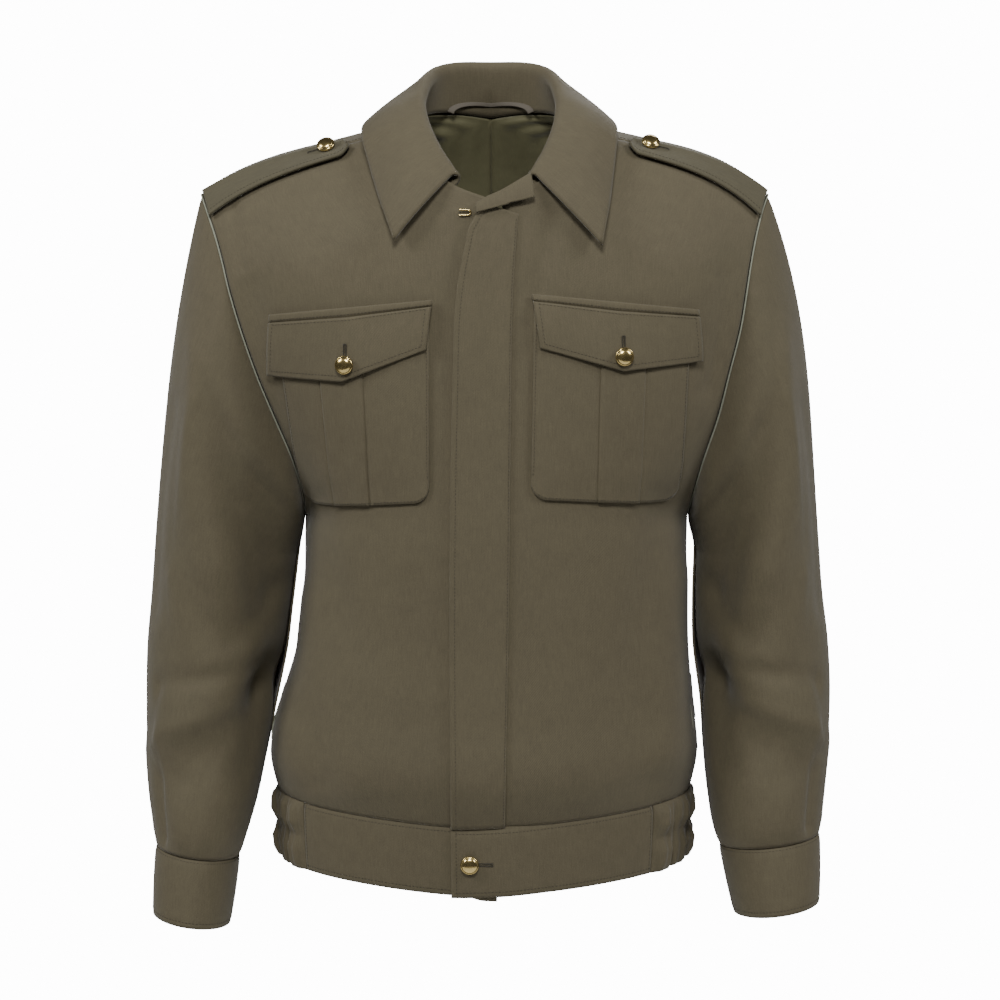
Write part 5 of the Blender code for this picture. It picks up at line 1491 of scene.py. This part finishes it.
def wool_piece(name, points, flip, thickness, ring=False, finish="gabardine",
               parting=None):
    """One cut piece of cloth in place of the solid of the same name."""
    skin = keep(name, points, flip, parting)
    piece = lay_cloth("cloth_" + name, skin, thickness, finish_for(finish), [name], ring)
    return piece


class JACKET_OT_body(bpy.types.Operator):
    """Lay the two fronts and the back"""

    bl_idname = "jacket.body"
    bl_label = "Body panels"

    def execute(self, context):
        for side in (1, -1):
            name = "front_" + label(side)
            wool_piece(name, front_points(side), side < 0, sizes().cloth)
        left, right = back_points()
        points = np.concatenate([right[:, ::-1], left], axis=1)
        wool_piece("back", points, True, sizes().cloth, parting=right.shape[1] - 1)
        return {"FINISHED"}


class JACKET_OT_sleeves(bpy.types.Operator):
    """Lay the sleeves and their cuffs"""

    bl_idname = "jacket.sleeves"
    bl_label = "Sleeves and cuffs"

    def execute(self, context):
        for side in (1, -1):
            name = "sleeve_" + label(side)
            wool_piece(name, sleeve_points(side), side > 0, sizes().cloth, ring=True)
            name = "cuff_" + label(side)
            wool_piece(name, cuff_points(side), side > 0, sizes().doubled, ring=True)
        return {"FINISHED"}


class JACKET_OT_collar(bpy.types.Operator):
    """Lay the collar, stand and fall in one"""

    bl_idname = "jacket.collar"
    bl_label = "Collar"

    def execute(self, context):
        wool_piece("collar", collar_points(), True, sizes().doubled)
        return {"FINISHED"}


class JACKET_OT_closing(bpy.types.Operator):
    """Lay the fly strip of the closing"""

    bl_idname = "jacket.closing"
    bl_label = "Fly strip"

    def execute(self, context):
        wool_piece("placket", placket_points(), False, sizes().doubled * 0.85)
        facing = lay_cloth("cloth_facing", keep("facing", facing_points(), False), sizes().cloth,
                           finish_for("gabardine"), [])
        return {"FINISHED"}


class JACKET_OT_waistband(bpy.types.Operator):
    """Lay the waistband and its gathered sides"""

    bl_idname = "jacket.waistband"
    bl_label = "Waistband"

    def execute(self, context):
        for side in (1, -1):
            name = "waistband_" + label(side)
            wool_piece(name, band_front_points(side), side > 0, sizes().doubled)
            name = "waistband_elastic_" + label(side)
            wool_piece(name, elastic_points(side), side > 0, sizes().doubled)
        wool_piece("waistband_back", band_back_points(), False, sizes().doubled)
        return {"FINISHED"}


class JACKET_OT_pockets(bpy.types.Operator):
    """Lay the breast pockets and their flaps"""

    bl_idname = "jacket.pockets"
    bl_label = "Pockets and flaps"

    def execute(self, context):
        for pocket, flap in zip(POCKETS, FLAPS):
            name = "pocket_" + label(pocket.side)
            wool_piece(name, pocket_points(pocket), pocket.side > 0, sizes().cloth)
            name = "flap_" + label(flap.side)
            wool_piece(name, flap_points(flap), flap.side > 0, sizes().cloth)
        return {"FINISHED"}


class JACKET_OT_straps(bpy.types.Operator):
    """Lay the shoulder straps"""

    bl_idname = "jacket.straps"
    bl_label = "Shoulder straps"

    def execute(self, context):
        for side in (1, -1):
            name = "epaulette_" + label(side)
            wool_piece(name, strap_points(side), side > 0, sizes().doubled, finish="strap")
        return {"FINISHED"}


# Spun profile of a plain domed button, as shares of its radius and depths below its top
Turn = namedtuple("Turn", "reach drop")
BUTTON_PROFILE = (
    Turn(0.00, 0.00000),
    Turn(0.25, 0.00010),
    Turn(0.50, 0.00048),
    Turn(0.66, 0.00098),
    Turn(0.75, 0.00150),
    Turn(0.79, 0.00190),
    Turn(0.82, 0.00194),
    Turn(0.87, 0.00168),
    Turn(0.93, 0.00186),
    Turn(0.98, 0.00240),
    Turn(1.00, 0.00300),
    Turn(0.99, 0.00350),
    Turn(0.93, 0.00395),
    Turn(0.70, 0.00425),
)


def facing(place, outward):
    """The matrix that puts +Z along a direction at a place."""
    matrix = Vector(outward).to_track_quat("Z", "Y").to_matrix().to_4x4()
    matrix.translation = Vector(place)
    return matrix


def spin_button(node, place, outward):
    """A plain domed shank button with a beaded rim."""
    top = SHANK_HEIGHT + BUTTON_HEIGHT
    rings = [(turn.reach * BUTTON_RADIUS, top - turn.drop) for turn in BUTTON_PROFILE]
    rings += [(SHANK_RADIUS, SHANK_HEIGHT), (SHANK_RADIUS, 0.0), (0.0, 0.0)]
    work = bmesh.new()
    verts = [work.verts.new((reach, 0.0, height)) for reach, height in rings]
    edges = [work.edges.new(pair) for pair in zip(verts, verts[1:])]
    bmesh.ops.spin(work, geom=verts + edges, cent=(0, 0, 0), axis=(0, 0, 1), angle=math.tau,
                   steps=sizes().button_steps, use_merge=True)
    bmesh.ops.remove_doubles(work, verts=work.verts, dist=1e-6)
    bmesh.ops.recalc_face_normals(work, faces=work.faces)
    bmesh.ops.transform(work, matrix=facing(place, outward), verts=work.verts)
    return dress(from_work("brass_" + node, work), finish_for("brass"), [node])


def flap_button_place(flap):
    lift = TIP_LIFT * BUTTON_SHARE ** 2
    across, up = find_on_front(flap.side, flap.button_x, flap.button_z)
    place = body_point(FRONT, flap.side, across, up)
    outward = body_normal(FRONT, flap.side, across, up)
    return place + outward * (FLAP_OUT + lift + LAYER_GAP), outward


# How far a strap's button nods forward on its shank
STRAP_BUTTON_NOD = 0.45


def strap_button_place(side):
    across = np.array([STRAP_BUTTON - 0.01, STRAP_BUTTON, STRAP_BUTTON + 0.01])
    over = np.tile(np.array([-0.002, 0.0, 0.002]) - STRAP_FORWARD, (3, 1))
    base = shoulder_point(side, across, over)
    outward = grid_normals(base)[1, 1]
    place = base[1, 1] + outward * (STRAP_OFF + sizes().doubled + LAYER_GAP)
    return place + np.array([0.0, -0.0012, 0.0008]), unit(outward - np.array([0.0, STRAP_BUTTON_NOD, 0.0]))


def waist_button_place():
    across = waist_across(FRONT, 1, WAIST_BUTTON_X)
    lap = sizes().doubled + BAND_LAP_GAP
    place = band_point(FRONT, 1, across, 0.5, np.array(lap + LAYER_GAP))
    outward = body_normal(FRONT, 1, np.array(across), np.array(JUST_ABOVE_WAIST))
    outward[2] = 0.0
    return place, unit(outward)


# Stitches of a buttonhole: pitch, distance from the slit, height, and length and width of one
HOLE_LENGTH = 0.0125
HOLE_PITCH = 0.00052
HOLE_SPREAD = 0.00095
HOLE_LIFT = 0.0001
HOLE_STITCH = (0.0017, 0.00060)

# The bars at its ends: height, step, and length and width of one stitch
BAR_LIFT = 0.00015
BAR_STEP = 0.0006
BAR_STITCH = (0.0040, 0.00070)


def buttonhole(name, centre, along, normal, length=HOLE_LENGTH):
    """A worked buttonhole: a dark slit between two rows of dense stitches, with a bar at each end."""
    along = unit(along - normal * (along @ normal))
    side = np.cross(normal, along)
    work = bmesh.new()
    steps = np.arange(-length / 2, length / 2 + 1e-6, HOLE_PITCH)
    rows = []
    for edge in (-1, 1):
        lip = centre + side * edge * HOLE_SPREAD + normal * HOLE_LIFT
        rows += [(lip + along * s, side, normal) for s in steps]
    ball_rows(work, rows, *HOLE_STITCH)
    bars = [(centre + along * s + normal * BAR_LIFT, side, normal)
            for s in (-length / 2 - BAR_STEP, -length / 2, length / 2, length / 2 + BAR_STEP)]
    ball_rows(work, bars, *BAR_STITCH)
    # The buttonhole stitches take the darker thread, with its painted shade
    return dress(from_work(name, work), finish_for("dark_thread"))


def tube(name, points, radius, finish, slot, nodes=(), sides=3):
    """A round trim along points: piping, wire or a thin edge."""
    data = bpy.data.curves.new(name, "CURVE")
    data.dimensions = "3D"
    data.bevel_depth = radius
    data.bevel_resolution = sides
    data.use_fill_caps = True
    spline = data.splines.new("POLY")
    spline.points.add(len(points) - 1)
    for spot, place in zip(spline.points, points):
        spot.co = (*place, 1.0)
    spline.use_smooth = True
    return dress(placed(name, data), finish, nodes)


def rounded(points, cuts=4):
    """A line of points with its corners softened by cutting them again and again."""
    line = np.asarray(points, float)
    for _ in range(cuts):
        near = line[:-1] * 0.75 + line[1:] * 0.25
        far = line[:-1] * 0.25 + line[1:] * 0.75
        between = np.stack([near, far], axis=1).reshape(-1, line.shape[1])
        line = np.concatenate([line[:1], between, line[-1:]])
    return line


PIPING_OUT = 0.00035


def piping_line(side):
    """The armhole seam, from the underarm over the front and the shoulder and down the back."""
    turn = np.linspace(0.0, 1.0, 260)
    points = armhole_point(side, turn)
    front_up, back_up = armhole_up(turn)
    edge = np.full_like(turn, 0.9995)
    front = body_normal(FRONT, side, edge, np.minimum(front_up, 0.999))
    back = body_normal(BACK, side, edge, np.minimum(back_up, 0.999))
    share = smooth_step((turn - 0.46) / 0.08)[:, None]
    outward = unit(front * (1 - share) + back * share)
    return points + outward * PIPING_OUT


# Corners of the turned-out facing, seen from the front: along its fold, then along its free edge
FACING = ((Bend(-0.0080, -0.0785), Bend(0.0365, -0.0555)), (Bend(-0.0080, -0.0870), Bend(0.0400, -0.0745)))


def facing_points():
    """The corner of the left front's facing, turned out over the top of the fly strip."""
    u, v = np.meshgrid(np.linspace(0.0, 1.0, 30), np.linspace(0.0, 1.0, 14))
    top, low = FACING
    x, z = [np.interp(u, [0.0, 1.0], [getattr(top[0], axis), getattr(top[1], axis)]) * (1 - v)
            + np.interp(u, [0.0, 1.0], [getattr(low[0], axis), getattr(low[1], axis)]) * v for axis in "xz"]
    across, up = find_on_front(1, x, z)
    out = LAYER_GAP * 2 + sizes().doubled + sizes().cloth + 0.0016 * v + 0.0006 * np.sin(np.pi * v)
    return body_offset(FRONT, 1, across, up, out)[::-1]


# Grid of the hanger loop, how far up the neck it follows, and how far its edges round over
LOOP_COLUMNS = 60
LOOP_ROWS = 9
LOOP_STEPS = 40
LOOP_UP = 0.96
LOOP_EDGE_ROUND = 0.0003


def loop_points():
    """The seen face of the hanger loop, arched against the inside of the stand."""
    bend = math.pi * (1 - np.linspace(0.0, 1.0, LOOP_COLUMNS))
    x = LOOP_HALF_SPAN * np.cos(bend)
    rise = LOOP_HEIGHT * np.sin(bend)
    neck_up = np.linspace(BACK_NECK, LOOP_UP, LOOP_STEPS)
    neck_line = body_point(BACK, 1, np.zeros_like(neck_up), neck_up)
    lean = neck_line[0, 0]
    y = np.interp(np.abs(x), neck_line[:, 0] - lean, neck_line[:, 1])
    z = np.interp(np.abs(x), neck_line[:, 0] - lean, neck_line[:, 2]) + LOOP_FOOT
    inward = LOOP_INWARD + sizes().doubled + LOOP_SLACK * np.sin(bend) + LOOP_END_INWARD * np.cos(bend) ** 2
    rows = []
    for width in np.linspace(-0.5, 0.5, LOOP_ROWS):
        grow = 1 + width * LOOP_WIDTH / LOOP_HALF_SPAN
        round_over = LOOP_EDGE_ROUND * (2 * width) ** 4
        rows.append(np.stack([lean + x * grow, y - inward + round_over, z + rise * grow + width * LOOP_TILT],
                             axis=-1))
    return np.array(rows)


def hook_line():
    across, up = find_on_front(-1, HOOK_X, HOOK_Z)
    base = body_point(FRONT, -1, across, up) + body_normal(FRONT, -1, across, up) * (HOOK_WIRE + LAYER_GAP)
    outline = [(base[0] + bend.x, base[1] - HOOK_OFF - HOOK_SPRING * abs(bend.x), base[2] + bend.z)
               for bend in HOOK_OUTLINE]
    return rounded(outline)


# Grid of half the lining, rows up to the neck and above it
LINING_COLUMNS = 61
LINING_ROWS = 120
LINING_NECK_ROWS = 26

# Its centre seam, how far it hangs free, and the depth of its gathers at the top and its long folds
LINING_SEAM = 0.0009
LINING_SEAM_WIDTH = 0.0016
LINING_EASE = 0.0011
LINING_GATHER = 0.0010
LINING_FALL = 0.0008


def lining_points():
    """The seen face of the lining, with its centre seam and small gathers; its halves part at the neck."""
    across = np.linspace(0.0, LINING_REACH, LINING_COLUMNS)
    up = np.concatenate([np.linspace(LINING_BOTTOM, BACK_NECK, LINING_ROWS),
                         np.linspace(BACK_NECK, LINING_TOP, LINING_NECK_ROWS)[1:]])
    halves = []
    for side in (1, -1):
        s, rise = np.meshgrid(across, up)
        x = side * s * HALF_PANEL
        seam = LINING_SEAM * np.exp(-(x / LINING_SEAM_WIDTH) ** 2) * smooth_step((BACK_NECK - rise) / 0.01)
        gather = np.sin(x * 260 + 2.5 * np.sin(rise * 9)) * smooth_step((rise - 0.70) / 0.18)
        fall = np.sin(x * 70 + rise * 8.0) + np.sin(x * 130 - rise * 11.0)
        deep = sizes().cloth + LINING_GAP + sizes().lining
        out = -deep + seam - LINING_EASE + LINING_GATHER * gather + LINING_FALL * fall
        halves.append(body_offset(BACK, side, s, rise, np.minimum(out, -deep)))
    return np.concatenate([halves[1][:, ::-1], halves[0]], axis=1)


def on_front(side, places, out):
    """A line of points and normals on a front, through places seen from the front."""
    line = rounded(places, 3)
    across, up = find_on_front(side, line[:, 0], line[:, 1])
    crease = crease_height(FRONT, line[:, 0], line[:, 1])
    normals = body_normal(FRONT, side, across, up)
    return body_point(FRONT, side, across, up) + normals * (out + crease)[:, None], normals


def constant_row(skin, row, start=0.0, end=0.0):
    columns = skin.points.shape[1]
    return skin.cut_line(np.full(columns, float(row)), np.arange(columns, dtype=float), start, end)


def row_at(skin, length, column):
    """The row that lies a length along one column of a skin."""
    lengths = lengths_along(skin.points[:, column])
    return np.interp(length, lengths, np.arange(len(lengths)))


def column_length(skin, column, first=0, last=None):
    return np.linalg.norm(np.diff(skin.points[first:last, column], axis=0), axis=1).sum()


# Stitched length of the underlap, insets of the stitch rows, and the collar rows that its fall hides
UNDERLAP_SEWN = 0.090
HIDDEN_ROWS = 18
SEAM_STITCH = 0.0022
SHOULDER_STITCH = 0.0030
BAND_TOP_STITCH = 0.0062
STAND_ROW = 5.0
STAND_SEWN = 0.105
POCKET_INSET = 0.0017


class JACKET_OT_stitching(bpy.types.Operator):
    """Sew the rows of machine stitches"""

    bl_idname = "jacket.stitching"
    bl_label = "Stitching"

    def execute(self, context):
        inset = sizes().edge_inset
        thread = finish_for("thread")
        collar = SKINS["collar"]
        hidden = [column_length(collar, column, 0, HIDDEN_ROWS) for column in (0, -1)]
        sew("stitches_collar", [collar.beside_row(True, inset, inset, inset),
                                collar.beside_column(False, inset, hidden[0], inset),
                                collar.beside_column(True, inset, hidden[1], inset),
                                constant_row(collar, STAND_ROW, STAND_SEWN, STAND_SEWN)], thread)
        placket = SKINS["placket"]
        sew("stitches_placket", [placket.beside_column(False, inset, 0.002, 0.002),
                                 placket.beside_column(True, 0.0016, 0.002, 0.004)], thread)
        under = SKINS["front_right"]
        length = column_length(under, 0)
        sew("stitches_front_right", [under.beside_column(False, inset, length - UNDERLAP_SEWN, 0.010)],
            thread)
        for side in (1, -1):
            name = label(side)
            pocket = SKINS["pocket_" + name]
            sew("stitches_pocket_" + name, [pocket.beside_column(False, POCKET_INSET, 0.002, 0.010),
                                            pocket.beside_column(True, POCKET_INSET, 0.002, 0.010),
                                            pocket.beside_row(True, POCKET_INSET, 0.010, 0.010)], thread)
            flap = SKINS["flap_" + name]
            height = column_length(flap, 5)
            rows = [row_at(flap, height * (WELT_SHARE + beside), 5) for beside in (-0.035, 0.085)]
            sew("stitches_flap_" + name, [constant_row(flap, rows[0], 0.002, 0.002),
                                          constant_row(flap, rows[1], 0.004, 0.004),
                                          flap.beside_column(False, inset, 0.009, inset),
                                          flap.beside_column(True, inset, 0.009, inset),
                                          flap.beside_row(True, inset, inset, inset)], thread)
            strap = SKINS["epaulette_" + name]
            sew("stitches_strap_" + name, [strap.beside_column(False, inset, inset + 0.004, 0.002),
                                           strap.beside_column(True, inset, inset + 0.004, 0.002),
                                           strap.beside_row(False, inset, inset + 0.003, inset + 0.003)],
                thread)
            cuff = SKINS["cuff_" + name]
            sew("stitches_cuff_" + name, [cuff.beside_row(False, SEAM_STITCH), cuff.beside_row(True, inset)],
                thread)
            band = SKINS["waistband_" + name]
            lines = [band.beside_row(True, inset, 0.003, 0.0),
                     band.beside_row(False, BAND_TOP_STITCH, 0.003, 0.0)]
            if side > 0:
                lines.append(band.beside_column(False, inset, 0.003, 0.003))
            lines.append(band.beside_column(True, SEAM_STITCH, 0.003, 0.003))
            sew("stitches_waistband_" + name, lines, thread)
        band = SKINS["waistband_back"]
        lines = [band.beside_row(True, inset), band.beside_row(False, BAND_TOP_STITCH)]
        sew("stitches_waistband_back", lines, thread)
        self.sew_shoulders()
        return {"FINISHED"}

    def sew_shoulders(self):
        """One row beside each shoulder seam, on the back."""
        for side in (1, -1):
            across = np.linspace(0.06, 0.97, 90)
            up = np.full_like(across, 1 - SHOULDER_STITCH / PANEL_LENGTH)
            place = body_offset(BACK, side, across, up, sunk(SHOULDER_STITCH))
            normals = body_normal(BACK, side, across, up)
            sew("stitches_shoulder_" + label(side), [(place, normals)], finish_for("thread"))


# The slanted opening of a side pocket beside the side seam, seen from the front
POCKET_EDGE_OUT = 0.0002
SIDE_POCKET = ((0.1830, -0.4850), (0.1850, -0.5100), (0.1868, -0.5400))


class JACKET_OT_piping(bpy.types.Operator):
    """Set the pale piping in the armhole seams and along the side pockets"""

    bl_idname = "jacket.piping"
    bl_label = "Piping and pocket edges"

    def execute(self, context):
        for side in (1, -1):
            tube("piping_armhole_" + label(side), piping_line(side), sizes().piping, finish_for("piping"),
                 "olive_trim")
            places = [(side * x, z) for x, z in SIDE_POCKET]
            points = on_front(side, places, POCKET_EDGE_OUT)[0]
            tube("piping_pocket_" + label(side), points, sizes().piping, finish_for("piping"), "olive_trim")
        return {"FINISHED"}


# How far the middle of a buttonhole lies from the button: above it on a flap, beside it on strap and band
FLAP_HOLE = 0.0105
STRAP_HOLE = 0.0100
BAND_HOLE = 0.0125


class JACKET_OT_buttons(bpy.types.Operator):
    """Spin the buttons and work the buttonholes"""

    bl_idname = "jacket.buttons"
    bl_label = "Buttons and buttonholes"

    def execute(self, context):
        for flap in FLAPS:
            place, outward = flap_button_place(flap)
            spin_button("pocket_button_" + label(flap.side), place, outward)
            upward = np.array([0.0, 0.0, 1.0])
            centre = on_skin("flap_" + label(flap.side), place + upward * FLAP_HOLE - outward * LAYER_GAP)
            buttonhole("buttonhole_flap_" + label(flap.side), centre, upward, outward)
        for side in (1, -1):
            place, outward = strap_button_place(side)
            spin_button("epaulette_button_" + label(side), place, outward)
            strap = SKINS["epaulette_" + label(side)]
            along = unit(strap.points[40, 15] - strap.points[30, 15])
            centre = on_skin("epaulette_" + label(side), place + along * STRAP_HOLE)
            buttonhole("buttonhole_strap_" + label(side), centre, along, outward)
        place, outward = waist_button_place()
        spin_button("waistband_button", place, outward)
        along = unit(np.cross(outward, np.array([0.0, 0.0, 1.0])))
        along = along if along[0] > 0 else -along
        centre = on_skin("waistband_left", place + along * BAND_HOLE)
        buttonhole("buttonhole_waistband", centre, along, outward)
        return {"FINISHED"}


def on_skin(name, place):
    """The point of a skin nearest to a place."""
    points = SKINS[name].points.reshape(-1, 3)
    away = np.linalg.norm(points - place, axis=1)
    near = np.argsort(away)[:4]
    normal = unit(SKINS[name].normals.reshape(-1, 3)[near].mean(axis=0))
    middle = points[near].mean(axis=0)
    return place - normal * ((place - middle) @ normal)


class JACKET_OT_neck(bpy.types.Operator):
    """Lay the lining and the hanger loop in the neck and bend the hook"""

    bl_idname = "jacket.neck"
    bl_label = "Lining, loop and hook"

    def execute(self, context):
        points = lining_points()
        skin = keep("lining_back", points, False, points.shape[1] // 2 - 1)
        lining = lay_cloth("lining_cloth", skin, sizes().lining, finish_for("satin"),
                           ["lining_back"])
        loop = lay_cloth("loop_band", keep("hanger_loop", loop_points(), False), sizes().cloth,
                         finish_for("loop"), ["hanger_loop"])
        tube("brass_hook", hook_line(), HOOK_WIRE, finish_for("brass"), "brass", ["neck_hook"], sides=5)
        return {"FINISHED"}


Lamp = namedtuple("Lamp", "name place width height power")
MIDDLE = (0.0, 0.0, -0.35)
LAMPS = (
    Lamp("front_softbox", (-0.1, -2.4, 1.8), 0.9, 0.7, 58.0),
    Lamp("left_softbox", (-2.3, -0.9, 1.3), 0.8, 1.0, 36.0),
    Lamp("right_softbox", (2.3, -0.9, 1.3), 0.8, 1.0, 32.0),
    Lamp("back_softbox", (0.6, 2.8, 1.6), 1.2, 1.0, 34.0),
)
CAMERA = (0.0122, -2.2, -0.15)
AIM = (0.0122, 0.0, -0.3323)
LENS = 91.0
FLOOR_Z = -1.42
FLOOR_REACH = 2.1
AIR_LIGHT = 0.06
AIR_WHITE = 14.0


def aimed(name, data, place, target):
    """A lamp or a camera set at a place and turned to a target."""
    thing = placed(name, data)
    thing.location = place
    thing.rotation_euler = (Vector(target) - Vector(place)).to_track_quat("-Z", "Y").to_euler()
    return thing


class JACKET_OT_stage(bpy.types.Operator):
    """Set out the floor, the lights and the camera"""

    bl_idname = "jacket.stage"
    bl_label = "Floor, lights and camera"

    def execute(self, context):
        work = bmesh.new()
        bmesh.ops.create_circle(work, cap_ends=True, segments=128, radius=FLOOR_REACH)
        bmesh.ops.translate(work, verts=work.verts, vec=(0.0, 0.0, FLOOR_Z))
        floor = from_work("studio_floor", work)
        floor.data.materials.append(finish_for("floor"))
        for lamp in LAMPS:
            data = bpy.data.lights.new(lamp.name, "AREA")
            data.shape = "RECTANGLE"
            data.size = lamp.width
            data.size_y = lamp.height
            data.energy = lamp.power
            aimed(lamp.name, data, lamp.place, MIDDLE)
        self.light_air()
        data = bpy.data.cameras.new("photo_camera")
        data.sensor_width = 36.0
        data.lens = LENS
        data.clip_end = 60.0
        bpy.context.scene.camera = aimed("photo_camera", data, CAMERA, AIM)
        return {"FINISHED"}

    def light_air(self):
        """A white surround that lights the jacket only faintly."""
        world = bpy.data.worlds.new("white_air")
        world.use_nodes = True
        bpy.context.scene.world = world
        tree = world.node_tree
        faint = tree.nodes["Background"]
        faint.inputs["Strength"].default_value = AIR_LIGHT
        white = tree.nodes.new("ShaderNodeBackground")
        white.inputs["Strength"].default_value = AIR_WHITE
        for air in (faint, white):
            air.inputs["Color"].default_value = (1.0, 1.0, 1.0, 1.0)
        seen = tree.nodes.new("ShaderNodeLightPath")
        either = tree.nodes.new("ShaderNodeMixShader")
        tree.links.new(seen.outputs["Is Camera Ray"], either.inputs[0])
        tree.links.new(faint.outputs[0], either.inputs[1])
        tree.links.new(white.outputs[0], either.inputs[2])
        tree.links.new(either.outputs[0], tree.nodes["World Output"].inputs["Surface"])


class JACKET_PT_panel(bpy.types.Panel):
    """The jacket's steps, sizes and colours"""

    bl_idname = "JACKET_PT_panel"
    bl_label = "Field jacket"
    bl_space_type = "VIEW_3D"
    bl_region_type = "UI"
    bl_category = "Jacket"

    def draw(self, context):
        for step in STEPS:
            self.layout.operator(step.bl_idname)
        for group in (context.scene.jacket_sizes, context.scene.jacket_colours):
            column = self.layout.column(align=True)
            for name in group.bl_rna.properties.keys():
                if name not in ("rna_type", "name"):
                    column.prop(group, name)


STEPS = (JACKET_OT_stage, JACKET_OT_body, JACKET_OT_sleeves, JACKET_OT_collar, JACKET_OT_closing,
         JACKET_OT_waistband, JACKET_OT_pockets, JACKET_OT_straps, JACKET_OT_buttons, JACKET_OT_neck,
         JACKET_OT_piping, JACKET_OT_stitching)
CLASSES = (JacketSizes, JacketColours, *STEPS, JACKET_PT_panel)


def register():
    for kind in CLASSES:
        bpy.utils.register_class(kind)
    bpy.types.Scene.jacket_sizes = PointerProperty(type=JacketSizes)
    bpy.types.Scene.jacket_colours = PointerProperty(type=JacketColours)


def unregister():
    del bpy.types.Scene.jacket_colours
    del bpy.types.Scene.jacket_sizes
    for kind in reversed(CLASSES):
        bpy.utils.unregister_class(kind)


def main():
    register()
    for step in STEPS:
        group, name = step.bl_idname.split(".")
        getattr(getattr(bpy.ops, group), name)()


if __name__ == "__main__":
    main()
